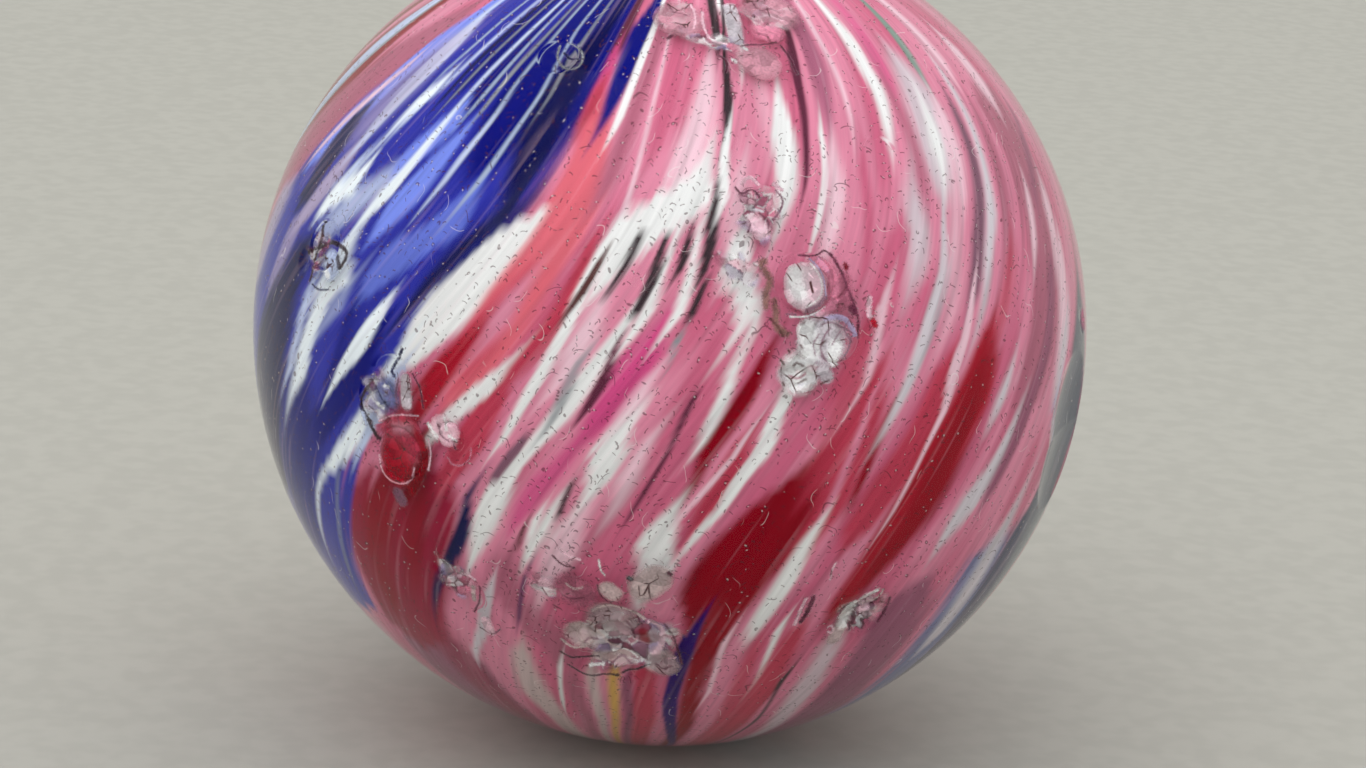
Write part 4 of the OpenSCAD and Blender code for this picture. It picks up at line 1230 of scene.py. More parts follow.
@dataclass
class Wear:
    """All the marks that play has left on the ball, at the sizes of the solid."""

    pontil: float = 3.2 * MM
    long_chip: Mark = Mark(71.0, -6.0)
    crushed: Mark = Mark(-4.0, -29.0)
    fan: Mark = Mark(30.0, -25.0)
    moons: tuple[tuple[float, float, float], ...] = (
        (-56, 18, 2.5), (-40, 1, 2.2), (-36, -5, 2.7), (-28, -1, 1.5), (18, 22, 3.0),
        (22, 15, 2.4), (-26, 51, 2.0),
    )
    cracks: tuple[tuple[float, float, float, float, float], ...] = (
        (-28, -24, 2.3, -70, 200), (21, 23, 2.6, -80, 150), (-38, 5, 2.2, 20, 150),
        (34, 38, 1.8, 10, 140),
    )
    nicks: tuple[tuple[float, float, float], ...] = (
        (16, 10, 1.6), (12, 31, 2.0), (9, 34, 1.3), (27, 18, 1.2), (8, 58, 2.4), (14, 56, 1.8),
        (2, 59, 1.6), (20, 59, 1.5), (-60, 15, 1.2), (-31, -20, 1.3), (77, 8, 1.4),
    )
    crush_bites: int = 7
    bite: float = 1.4 * MM
    bite_growth: float = 0.1 * MM
    bite_reach: float = 2.2 * MM
    long_chip_step: float = 2.2 * MM

    def bowls(self) -> list[Bowl]:
        """Every bowl-shaped cut."""
        made = [Bowl(Mark(0.0, 90.0), self.pontil, 0.1 * MM)]
        made.append(Bowl(Mark(0.0, -90.0), self.pontil, 0.1 * MM))
        for bearing in (0.0, 180.0):
            place = self.long_chip.beside(bearing, self.long_chip_step / 2)
            made.append(Bowl(place, 6.4 * MM, 0.22 * MM))
        made.append(Bowl(self.crushed, 5.2 * MM, 0.16 * MM))
        for i in range(self.crush_bites):
            place = self.crushed.beside(i * FULL_TURN / self.crush_bites, self.bite_reach)
            made.append(Bowl(place, self.bite + i * self.bite_growth, 0.22 * MM))
        made.append(Bowl(self.fan, 3.4 * MM, 0.14 * MM))
        for lon, lat, width in self.moons:
            made.append(Bowl(Mark(lon, lat), 0.6 * width * MM, 0.06 * MM))
        for lon, lat, width in self.nicks:
            made.append(Bowl(Mark(lon, lat), width * MM, 0.14 * MM))
        return made

    def rings(self) -> list[Ring]:
        """Every ring-shaped groove."""
        made = [Ring(Mark(lon, lat), width * MM) for lon, lat, width in self.moons]
        for lon, lat, width, start, sweep in self.cracks:
            made.append(Ring(Mark(lon, lat), width * MM, start, sweep))
        return made

    def crushes(self) -> list[Crush]:
        """Every patch of broken glass."""
        return [
            Crush(self.crushed, 6.6 * MM, 5.6 * MM, 0.16 * MM, 90),
            Crush(self.fan, 3.4 * MM, 3.0 * MM, 0.06 * MM, 26, frost=0.8),
            Crush(Mark(12.0, 31.0), 2.6 * MM, 3.6 * MM, 0.1 * MM, 40, frost=0.7),
            Crush(Mark(9.0, 24.0), 1.6 * MM, 3.4 * MM, 0.08 * MM, 26, 60.0, frost=0.5),
            Crush(Mark(-2.0, 60.0), 2.6 * MM, 2.6 * MM, 0.1 * MM, 30, frost=0.7),
            Crush(Mark(22.0, 61.0), 3.4 * MM, 2.8 * MM, 0.1 * MM, 36, frost=0.7),
            Crush(Mark(8.0, 56.0), 4.0 * MM, 1.6 * MM, 0.08 * MM, 30, -12.0, frost=0.7),
            Crush(Mark(17.0, 11.0), 3.0 * MM, 2.2 * MM, 0.1 * MM, 34, 35.0, frost=0.9),
            Crush(Mark(-57.0, 17.0), 2.4 * MM, 2.6 * MM, 0.1 * MM, 34, frost=0.6),
            Crush(Mark(-40.0, 2.0), 2.4 * MM, 3.2 * MM, 0.08 * MM, 34, frost=0.6),
            Crush(Mark(-29.0, -22.0), 3.0 * MM, 2.4 * MM, 0.08 * MM, 30, -40.0, frost=0.8),
            Crush(Mark(-15.0, -20.0), 3.4 * MM, 1.6 * MM, 0.06 * MM, 26, -20.0, frost=0.4),
        ]

    def surface(self, units: np.ndarray) -> np.ndarray:
        """The worn ball's radius in each direction."""
        radius = np.full(len(units), BALL_R)
        fan = Fan(self.fan, 3.4 * MM, 0.14 * MM)
        for cut in [*self.bowls(), *self.rings(), fan]:
            radius = np.minimum(radius, cut.cut(units))
        for crush in self.crushes():
            radius = radius - crush.drop(units)
        return radius

    def frost(self, units: np.ndarray) -> np.ndarray:
        """How white and dull the glass is in each direction, from 0 to 1."""
        amount = np.zeros(len(units))
        for crush in self.crushes():
            amount = np.maximum(amount, crush.inside(units)[2] * crush.frost)
        return amount

    def pecked(self, units: np.ndarray) -> np.ndarray:
        """How thickly small pecks lie in each direction, from 0 to 1."""
        spots = (
            (10, 30, 22, 1.0), (8, 57, 16, 1.0), (-40, 0, 14, 1.0), (-56, 18, 12, 0.9),
            (-10, -22, 22, 0.9), (20, 14, 16, 1.0), (-34, 42, 16, 0.7), (30, -22, 14, 0.7),
            (-12, 8, 24, 0.7), (42, 36, 16, 0.4), (-62, 2, 14, 0.7), (24, -4, 16, 0.45),
        )
        amount = np.full(len(units), 0.5)
        for lon, lat, wide, strength in spots:
            near = units @ directions(lon, lat)
            angle = np.degrees(np.arccos(np.clip(near, -1.0, 1.0)))
            amount = np.maximum(amount, strength * ramp(angle, wide, wide * 0.3))
        return amount


class Graph:
    """Adds nodes to one node tree and links them."""

    def __init__(self, tree: bpy.types.NodeTree) -> None:
        """Keeps the tree that the nodes go into."""
        self.tree = tree

    def node(self, kind: str, inputs: dict | None = None, **settings: object) -> bpy.types.Node:
        """Adds one node.

        Args:
            kind: The node's type.
            inputs: Values or sockets for its inputs, by name or number.
            **settings: Its properties.

        Returns:
            The node.
        """
        made = self.tree.nodes.new(kind)
        for name, value in settings.items():
            setattr(made, name, value)
        for name, value in (inputs or {}).items():
            self.put(made.inputs[name], value)
        return made

    def put(self, socket: bpy.types.NodeSocket, value: object) -> None:
        """Links a socket into this input, or sets its plain value."""
        if isinstance(value, bpy.types.NodeSocket):
            self.tree.links.new(value, socket)
        else:
            socket.default_value = value

    def math(self, operation: str, a: object, b: object = 0.5) -> bpy.types.NodeSocket:
        """One sum of two values."""
        return self.node("ShaderNodeMath", {0: a, 1: b}, operation=operation).outputs[0]

    def band(self, value: object, low: float, high: float, start: float = 0.0,
             end: float = 1.0) -> bpy.types.NodeSocket:
        """Maps a value's range from low to high smoothly onto start to end."""
        inputs = {"Value": value, "From Min": low, "From Max": high, "To Min": start, "To Max": end}
        made = self.node("ShaderNodeMapRange", inputs, interpolation_type="SMOOTHSTEP")
        return made.outputs["Result"]

    def noise(self, vector: object, scale: float, detail: float = 2.0) -> bpy.types.NodeSocket:
        """A noise value from 0 to 1."""
        inputs = {"Vector": vector, "Scale": scale, "Detail": detail}
        return self.node("ShaderNodeTexNoise", inputs).outputs["Fac"]

    def mix(self, factor: object, a: object, b: object, blend: str = "MIX") -> bpy.types.NodeSocket:
        """Mixes two colours."""
        made = self.node("ShaderNodeMix", data_type="RGBA", blend_type=blend)
        self.put(made.inputs[0], factor)
        self.put(made.inputs[6], a)
        self.put(made.inputs[7], b)
        return made.outputs[2]


def opaque(colour: tuple[float, float, float]) -> tuple[float, float, float, float]:
    """A linear colour with full alpha."""
    return (*colour, 1.0)


def blank_material(name: str) -> tuple[bpy.types.Material, Graph, bpy.types.Node]:
    """A new material with only its output.

    Args:
        name: The material's name.

    Returns:
        The material, its graph and its output node.
    """
    material = bpy.data.materials.new(name)
    material.use_nodes = True
    material.node_tree.nodes.clear()
    graph = Graph(material.node_tree)
    return material, graph, graph.node("ShaderNodeOutputMaterial")


@dataclass(frozen=True)
class PeckSize:
    """Size of one kind of small mark.

    Attributes:
        length: Half its length, as a share of the distance between places.
        line: Half its line's width, in the same measure.
        bend: How strongly it curves.
        first: Start of its part of the draw that settles what each place holds.
        share: Share of the places that hold one where wear is full.
    """

    length: float
    line: float
    bend: float
    first: float
    share: float


class PeckPlaces:
    """Places for small marks, spread evenly at random, at most one mark to each."""

    def __init__(self, graph: Graph, at: bpy.types.NodeSocket, scale: float) -> None:
        """Spreads the places.

        Args:
            graph: The graph to draw in.
            at: Object coordinates.
            scale: Places in a metre.
        """
        self.graph = graph
        cells = graph.node("ShaderNodeTexVoronoi", {"Vector": at, "Scale": scale}).outputs
        self.away = cells["Distance"]
        turn = graph.node("ShaderNodeVectorMath", {0: cells["Color"], 1: (0.5, 0.5, 0.5)},
                          operation="SUBTRACT").outputs[0]
        turn = graph.node("ShaderNodeVectorMath", {0: turn}, operation="NORMALIZE").outputs[0]
        off = graph.node("ShaderNodeVectorMath", {0: at, 1: cells["Position"]},
                         operation="SUBTRACT").outputs[0]
        side = graph.node("ShaderNodeVectorMath", {0: off, 1: turn}, operation="DOT_PRODUCT")
        self.side = graph.math("MULTIPLY", side.outputs["Value"], scale)
        self.draw = graph.node("ShaderNodeSeparateColor", {"Color": cells["Color"]}).outputs[2]

    def kept(self, amount: bpy.types.NodeSocket, size: PeckSize) -> bpy.types.NodeSocket:
        """1 at the places that hold this kind of mark."""
        graph = self.graph
        last = graph.math("ADD", graph.math("MULTIPLY", amount, size.share), size.first)
        return graph.math("MULTIPLY", graph.math("GREATER_THAN", self.draw, size.first),
                          graph.math("LESS_THAN", self.draw, last))

    def curves(self, amount: bpy.types.NodeSocket, size: PeckSize) -> bpy.types.NodeSocket:
        """A mask of short curved marks that lie every way."""
        graph = self.graph
        curve = graph.math("MULTIPLY", graph.math("MULTIPLY", self.away, self.away), size.bend)
        line = graph.math("ABSOLUTE", graph.math("SUBTRACT", self.side, curve))
        line = graph.band(line, size.line, size.line * 0.3)
        short = graph.band(self.away, size.length, size.length * 0.7)
        return graph.math("MULTIPLY", graph.math("MULTIPLY", line, short), self.kept(amount, size))

    def pits(self, amount: bpy.types.NodeSocket, size: PeckSize) -> bpy.types.NodeSocket:
        """A mask of round pits."""
        round_spot = self.graph.band(self.away, size.length, size.length * 0.5)
        return self.graph.math("MULTIPLY", round_spot, self.kept(amount, size))


def peck_group() -> bpy.types.NodeTree:
    """The group that draws small pecks and scratches, thickest where play wore most.

    Returns:
        A group from object coordinates and an amount to masks of dark marks and of pale
        hairlines and specks, which the core paints as glints.
    """
    tree = bpy.data.node_groups.new("pecks", "ShaderNodeTree")
    face = tree.interface
    face.new_socket("Vector", in_out="INPUT", socket_type="NodeSocketVector")
    face.new_socket("Amount", in_out="INPUT", socket_type="NodeSocketFloat")
    for name in ("Dark", "Pale"):
        face.new_socket(name, in_out="OUTPUT", socket_type="NodeSocketFloat")
    graph = Graph(tree)
    given = graph.node("NodeGroupInput").outputs
    wander = {"Vector": given["Vector"], "Scale": 1500.0, "Detail": 0.0}
    warp = graph.node("ShaderNodeTexNoise", wander).outputs["Color"]
    shift = graph.node("ShaderNodeVectorMath", {0: warp, "Scale": 0.0004}, operation="SCALE")
    at = graph.node("ShaderNodeVectorMath", {0: given["Vector"], 1: shift.outputs[0]}).outputs[0]
    amount = given["Amount"]
    small = PeckPlaces(graph, at, 3400.0)
    large = PeckPlaces(graph, at, 820.0)
    ticks = small.curves(amount, PeckSize(0.5, 0.12, 0.6, 0.0, 0.8))
    pits = small.pits(amount, PeckSize(0.24, 0.0, 0.0, 0.75, 0.15))
    cracks = large.curves(amount, PeckSize(0.4, 0.026, 1.0, 0.0, 0.25))
    hairs = large.curves(amount, PeckSize(0.46, 0.02, 0.7, 0.4, 0.6))
    specks = small.pits(amount, PeckSize(0.2, 0.0, 0.0, 0.2, 0.4))
    dark = graph.math("MAXIMUM", graph.math("MAXIMUM", ticks, pits), cracks)
    # the pale mask: real hairline scratches and specks, which the core paints near white as glints
    pale = graph.math("MAXIMUM", hairs, specks)
    graph.node("NodeGroupOutput", {"Dark": dark, "Pale": pale})
    return tree


@dataclass(frozen=True)
class CoreFinish:
    """Coloured glass under the casing: streaks, fine threads, dirty pecks, painted glints."""

    pecks: bpy.types.NodeTree
    roughness: float = 0.5
    sheen_off: float = 0.0
    thread_depth: float = 0.07
    dirt_depth: float = 0.62
    hair_glint_depth: float = 0.38
    dirt_and_crease_shade: tuple[float, float, float] = linear(76, 38, 46)
    # painted highlight: colour of the glints on the pale scratches and specks
    glint: tuple[float, float, float] = linear(244, 236, 236)

    def material(self) -> bpy.types.Material:
        """Builds the material."""
        made, graph, output = blank_material("streaked_glass")
        streaks = graph.node("ShaderNodeAttribute", attribute_name="streaks").outputs["Color"]
        flow = graph.node("ShaderNodeAttribute", attribute_name="flow").outputs["Vector"]
        wear = graph.node("ShaderNodeAttribute", attribute_name="wear").outputs["Fac"]
        object_at = graph.node("ShaderNodeTexCoord").outputs["Object"]
        threads = graph.noise(flow, 48.0, 2.0)
        level = graph.band(threads, 0.3, 0.7, 1.0 - self.thread_depth, 1.0 + self.thread_depth)
        scale = graph.node("ShaderNodeCombineColor", {0: level, 1: level, 2: level}).outputs[0]
        colour = graph.mix(1.0, streaks, scale, "MULTIPLY")
        marks = graph.node("ShaderNodeGroup", {}, node_tree=self.pecks)
        graph.put(marks.inputs["Vector"], object_at)
        graph.put(marks.inputs["Amount"], wear)
        dark = graph.math("MULTIPLY", marks.outputs["Dark"], self.dirt_depth)
        colour = graph.mix(dark, colour, opaque(self.dirt_and_crease_shade))
        # painted highlight: the pale scratches and specks painted near white, as glints
        pale = graph.math("MULTIPLY", marks.outputs["Pale"], self.hair_glint_depth)
        colour = graph.mix(pale, colour, opaque(self.glint))
        inputs = {"Base Color": colour, "Roughness": self.roughness,
                  "Specular IOR Level": self.sheen_off}
        shader = graph.node("ShaderNodeBsdfPrincipled", inputs)
        graph.put(output.inputs["Surface"], shader.outputs[0])
        return made


@dataclass(frozen=True)
class BruiseFinish:
    """Broken glass: facets painted as if catching light unevenly, and painted shade in creases."""

    facets: float = 1900.0
    crease: float = 0.045
    least_light: float = 0.72
    most_light: float = 1.16
    roughness: float = 0.4
    # painted shade: colour of the dark lines in the creases between facets
    dirt_and_crease_shade: tuple[float, float, float] = linear(88, 56, 58)

    def material(self) -> bpy.types.Material:
        """Builds the material."""
        made, graph, output = blank_material("broken_glass")
        painted = graph.node("ShaderNodeAttribute", attribute_name="streaks").outputs["Color"]
        cover = graph.node("ShaderNodeAttribute", attribute_name="cover").outputs["Fac"]
        at = graph.node("ShaderNodeTexCoord").outputs["Object"]
        cells = graph.node("ShaderNodeTexVoronoi", {"Vector": at, "Scale": self.facets}).outputs
        pick = graph.node("ShaderNodeSeparateColor", {"Color": cells["Color"]}).outputs[0]
        # painted light: each facet made lighter or darker at random, as if lit at its own angle
        level = graph.band(pick, 0.0, 1.0, self.least_light, self.most_light)
        scale = graph.node("ShaderNodeCombineColor", {0: level, 1: level, 2: level}).outputs[0]
        colour = graph.mix(1.0, painted, scale, "MULTIPLY")
        # painted shade: dark lines along the facets' edges, in the creases
        edge = graph.node("ShaderNodeTexVoronoi", {"Vector": at, "Scale": self.facets * 0.5},
                          feature="DISTANCE_TO_EDGE").outputs["Distance"]
        line = graph.band(edge, self.crease, self.crease * 0.2)
        some = graph.band(graph.noise(at, self.facets * 0.6), 0.48, 0.6)
        colour = graph.mix(graph.math("MULTIPLY", line, some), colour, opaque(self.dirt_and_crease_shade))
        inputs = {"Base Color": colour, "Roughness": self.roughness, "Specular IOR Level": 0.0,
                  "Alpha": cover}
        shader = graph.node("ShaderNodeBsdfPrincipled", inputs)
        graph.put(output.inputs["Surface"], shader.outputs[0])
        return made


@dataclass(frozen=True)
class CasingFinish:
    """The clear outer glass, dull where it is crushed."""

    ior: float = 1.5
    gloss: float = 0.0
    dull: float = 0.35
    reflect: float = 0.16

    def material(self) -> bpy.types.Material:
        """Builds the material. Rays from lamps and from diffuse surfaces pass it unbent."""
        made, graph, output = blank_material("clear_glass")
        frost = graph.node("ShaderNodeAttribute", attribute_name="frost").outputs["Fac"]
        rough = graph.band(frost, 0.0, 1.0, self.gloss, self.dull)
        inputs = {"Base Color": (1.0, 1.0, 1.0, 1.0), "Roughness": rough, "IOR": self.ior,
                  "Transmission Weight": 1.0, "Specular Tint": (*(3 * [self.reflect]), 1.0)}
        glass = graph.node("ShaderNodeBsdfPrincipled", inputs).outputs[0]
        clear = graph.node("ShaderNodeBsdfTransparent").outputs[0]
        path = graph.node("ShaderNodeLightPath").outputs
        inner = graph.node("ShaderNodeMixShader", {0: path["Is Diffuse Ray"], 1: glass, 2: clear})
        outer = graph.node("ShaderNodeMixShader",
                           {0: path["Is Shadow Ray"], 1: inner.outputs[0], 2: clear})
        graph.put(output.inputs["Surface"], outer.outputs[0])
        return made


def store(mesh: bpy.types.Mesh, name: str, kind: str, values: np.ndarray) -> None:
    """Keeps one value for each vertex of a mesh.

    Args:
        mesh: The mesh.
        name: The attribute's name.
        kind: Its type: FLOAT, FLOAT_VECTOR or FLOAT_COLOR.
        values: The values, one row for each vertex.
    """
    made = mesh.attributes.new(name, kind, "POINT")
    slot = {"FLOAT": "value", "FLOAT_VECTOR": "vector", "FLOAT_COLOR": "color"}[kind]
    made.data.foreach_set(slot, np.ascontiguousarray(values, dtype=np.float32).ravel())


def vertices(mesh: bpy.types.Mesh) -> np.ndarray:
    """A mesh's points, one row each."""
    points = np.empty(len(mesh.vertices) * 3, dtype=np.float32)
    mesh.vertices.foreach_get("co", points)
    return points.reshape(-1, 3).astype(float)


def move(mesh: bpy.types.Mesh, points: np.ndarray) -> None:
    """Puts a mesh's vertices at these points."""
    mesh.vertices.foreach_set("co", points.astype(np.float32).ravel())
    mesh.update()


def finish_object(name: str, bm: bmesh.types.BMesh, finish: bpy.types.Material) -> bpy.types.Object:
    """Makes a smooth-shaded object of a mesh in the making.

    Args:
        name: The piece's name.
        bm: Its mesh, which is freed.
        finish: Its material.

    Returns:
        The object, linked to the scene.
    """
    mesh = bpy.data.meshes.new(name)
    bm.to_mesh(mesh)
    bm.free()
    mesh.materials.append(finish)
    mesh.shade_smooth()
    made = bpy.data.objects.new(name, mesh)
    bpy.context.scene.collection.objects.link(made)
    return made


def opaque_rows(colours: np.ndarray) -> np.ndarray:
    """Colours with full alpha, one row each."""
    return np.c_[colours, np.ones(len(colours))]


def ribbon(flow: np.ndarray, lat: np.ndarray) -> np.ndarray:
    """Points that lie close along the flow and far apart across it, for fine threads."""
    turn = np.radians(flow)
    return np.stack([np.cos(turn), np.sin(turn), np.radians(lat) * 0.08], axis=-1)


def streak_colours(flow: np.ndarray, lat: np.ndarray) -> np.ndarray:
    """Paints every streak in order, each over the last.

    Args:
        flow: Longitude with the twist taken off, in degrees.
        lat: Latitude in degrees.

    Returns:
        Linear colours, one row for each place.
    """
    broad = FlowNoise(2.2, 16.0, 3)(flow, lat)
    threads = FlowNoise(0.9, 11.0, 4)(flow, lat)
    hairs = FlowNoise(0.45, 7.0, 5)(flow, lat)
    fray = 0.45 * broad + 0.4 * threads + 0.3 * hairs
    cloud = ramp(FlowNoise(4.0, 24.0, 6)(flow, lat), -0.7, 0.5)[:, None]
    colour = Glass.ROSE.light() * (1 - cloud) + Glass.PINK.light() * cloud
    for one in [*HiddenStreaks().draw(), *seen_streaks()]:
        cover = one.cover(flow, lat, fray)[:, None]
        colour = colour * (1 - cover) + one.glass.light() * cover
    veil = ramp(FlowNoise(0.7, 13.0, 7)(flow, lat), 0.35, 1.0)[:, None] * 0.12
    colour = colour * (1 - veil) + Glass.PALE_PINK.light() * veil
    shade = ramp(FlowNoise(0.8, 12.0, 8)(flow, lat), 0.3, 1.0)[:, None] * 0.16
    return colour * (1 - shade)


def halve(bm: bmesh.types.BMesh, chosen: Callable[[np.ndarray], np.ndarray]) -> None:
    """Halves the edges that a test picks, and puts the new vertices on the ball.

    Args:
        bm: The mesh.
        chosen: A test from unit vectors to true or false.
    """
    edges = list(bm.edges)
    middles = np.array([(e.verts[0].co + e.verts[1].co)[:] for e in edges])
    picked = chosen(middles / np.linalg.norm(middles, axis=1)[:, None])
    bmesh.ops.subdivide_edges(
        bm, edges=[e for e, yes in zip(edges, picked) if yes], cuts=1, use_grid_fill=True
    )
    bmesh.ops.triangulate(bm, faces=[f for f in bm.faces if len(f.verts) > 3])
    for vertex in bm.verts:
        vertex.co = vertex.co.normalized() * BALL_R


@dataclass
class SwirlCore:
    """The core that carries the coloured streaks.

    Attributes:
        casing: Thickness of the clear glass over it, deeper than every chip.
        meridians: Columns of vertices round it.
        rings: Rows of vertices down it.
        front_share: How much closer the columns stand on the side that faces the viewer.
        last_ring: Latitude of the outermost rings, which are capped flat.
    """

    casing: float = 0.7 * MM
    meridians: int = 1000
    rings: int = 97
    front_share: float = 0.35
    last_ring: float = 89.4

    def build(self, finish: bpy.types.Material) -> bpy.types.Object:
        """Builds the core, its mesh laid along the flow, and paints its streaks."""
        bm = bmesh.new()
        bmesh.ops.create_cone(
            bm, cap_ends=True, segments=self.meridians, radius1=1.0, radius2=1.0, depth=2.0
        )
        uprights = [e for e in bm.edges if abs(e.verts[0].co.z - e.verts[1].co.z) > 1.0]
        bmesh.ops.subdivide_edges(bm, edges=uprights, cuts=self.rings, use_grid_fill=True)
        made = finish_object("swirl_core", bm, finish)
        radius = BALL_R - self.casing
        points = vertices(made.data)
        lon = np.degrees(np.arctan2(points[:, 0], -points[:, 1]))
        flow = lon - math.degrees(self.front_share) * np.sin(np.radians(lon))
        lat = points[:, 2] * self.last_ring
        units = directions(flow + twist(lat), lat)
        move(made.data, units * radius)
        self.paint(made.data, flow, lat)
        store(made.data, "wear", "FLOAT", Wear().pecked(units))
        return made

    def paint(self, mesh: bpy.types.Mesh, flow: np.ndarray, lat: np.ndarray) -> None:
        """Keeps the streak colours and the flow's directions on the mesh.

        Args:
            mesh: The core's mesh.
            flow: Longitude of each vertex with the twist taken off.
            lat: Latitude of each vertex.
        """
        store(mesh, "streaks", "FLOAT_COLOR", opaque_rows(streak_colours(flow, lat)))
        store(mesh, "flow", "FLOAT_VECTOR", ribbon(flow, lat))


@dataclass
class BruisedGlass:
    """Thin patches of broken and bruised glass just under the clear skin.

    Attributes:
        wear: The marks.
        cover: Depth of the patches under the skin.
        thickness: Their thickness.
        reach: How far past a drawn line a patch runs, in degrees.
        start_level: Level of the icosphere that it starts from.
        rounds: How far past the patches the mesh is halved each time, in degrees.
        outline: How far from a drawn line's sides it is halved once more, in degrees.
        cover_most: How much a drawn line hides at the most.
        grain: How much less it hides here and there.
    """

    wear: "Wear"
    cover: float = 0.03 * MM
    thickness: float = 0.05 * MM
    reach: float = 0.3
    start_level: int = 6
    rounds: tuple[float, ...] = (1.6, 0.9, 0.55)
    outline: float = 0.13
    cover_most: float = 0.95
    grain: float = 0.4

    def build(self, finish: bpy.types.Material) -> bpy.types.Object:
        """Builds the patches, and paints the broken glass on them."""
        bm = bmesh.new()
        bmesh.ops.create_icosphere(bm, subdivisions=self.start_level, radius=BALL_R)
        for reach in self.rounds:
            halve(bm, partial(self.on_patch, reach=reach))
        halve(bm, self.on_outline)
        faces = list(bm.faces)
        middles = np.array([f.calc_center_median()[:] for f in faces])
        kept = self.on_patch(middles / np.linalg.norm(middles, axis=1)[:, None], self.reach)
        away = [f for f, yes in zip(faces, kept) if not yes]
        bmesh.ops.delete(bm, geom=away, context="FACES")
        bmesh.ops.solidify(bm, geom=bm.faces[:], thickness=self.thickness)
        made = finish_object("bruised_glass", bm, finish)
        points = vertices(made.data)
        far = np.linalg.norm(points, axis=1)
        units = points / far[:, None]
        under = np.where(far < BALL_R - self.thickness / 2, self.thickness, 0.0)
        move(made.data, units * (self.wear.surface(units) - self.cover - under)[:, None])
        paint = self.broken(units)
        store(made.data, "streaks", "FLOAT_COLOR", opaque_rows(paint.colour))
        store(made.data, "cover", "FLOAT", paint.cover)
        store(made.data, "wear", "FLOAT", self.wear.pecked(units))
        return made

    def on_patch(self, units: np.ndarray, reach: float) -> np.ndarray:
        """True for directions in a crushed place, on a drawn line or this near to one."""
        near = np.zeros(len(units), dtype=bool)
        for line in bruise_strokes():
            rows, away = line.away(units, reach)
            near[rows] |= away < line.width / 2 + reach
        past = math.radians(reach - self.reach)
        for crush in self.wear.crushes():
            near |= units @ crush.at.axes()[2] > math.cos(crush.reach() / BALL_R + past)
        return near

    def on_outline(self, units: np.ndarray) -> np.ndarray:
        """True for directions near the sides of a drawn line."""
        near = np.zeros(len(units), dtype=bool)
        for line in bruise_strokes():
            rows, away = line.away(units, self.outline)
            near[rows] |= np.abs(away - line.width / 2) < self.outline
        return near

    def broken(self, units: np.ndarray) -> "Paint":
        """Paints flakes and creases, then the drawn lines.

        Args:
            units: Directions of the patches' vertices.

        Returns:
            The paint on them, clear where the glass is whole.
        """
        paint = Paint.clear(len(units))
        for crush in self.wear.crushes():
            crush.tint(units, paint)
        rng = np.random.default_rng(21)
        fray = rng.uniform(-1.0, 1.0, len(units))
        for line in bruise_strokes():
            soft = max(line.soft, 0.2 * line.width)
            rows, away = line.away(units, soft)
            side = line.width / 2 - away + fray[rows] * line.rag * (0.1 + min(line.width, 0.8) / 4)
            grain = self.cover_most * (1.0 - self.grain * np.abs(fray[rows]))
            paint.lay(rows, line.glass.light(), grain * ramp(side, -soft, soft))
        return paint


@dataclass
class ClearCasing:
    """The clear glass skin with all its marks.

    Attributes:
        wear: The marks.
        start_level: Level of the icosphere that it starts from.
        mark_rounds: How often the mesh is halved round every mark.
        ring_rounds: How often more along the narrow grooves.
        margin: How far round a mark the mesh is made finer.
    """

    wear: Wear = field(default_factory=Wear)
    start_level: int = 6
    mark_rounds: int = 3
    ring_rounds: int = 1
    margin: float = 0.3 * MM

    def build(self, finish: bpy.types.Material) -> bpy.types.Object:
        """Builds the skin, finer where it is marked, and presses the marks into it."""
        bm = bmesh.new()
        bmesh.ops.create_icosphere(bm, subdivisions=self.start_level, radius=BALL_R)
        for _ in range(self.mark_rounds):
            halve(bm, self.near_marks)
        for _ in range(self.ring_rounds):
            halve(bm, self.near_rings)
        made = finish_object("clear_casing", bm, finish)
        points = vertices(made.data)
        units = points / np.linalg.norm(points, axis=1)[:, None]
        move(made.data, units * self.wear.surface(units)[:, None])
        store(made.data, "frost", "FLOAT", self.wear.frost(units))
        return made

    def near_marks(self, units: np.ndarray) -> np.ndarray:
        """True for directions on or near a mark."""
        near = np.zeros(len(units), dtype=bool)
        for mark in [*self.wear.bowls(), *self.wear.rings(), *self.wear.crushes()]:
            reach = (mark.reach() + self.margin) / BALL_R
            near |= units @ mark.at.axes()[2] > math.cos(reach)
        return near

    def near_rings(self, units: np.ndarray) -> np.ndarray:
        """True for directions on or near a narrow groove."""
        near = np.zeros(len(units), dtype=bool)
        for ring in self.wear.rings():
            angle = np.arccos(np.clip(units @ ring.at.axes()[2], -1.0, 1.0))
            near |= np.abs(angle * BALL_R - ring.width / 2) < ring.opening
        return near


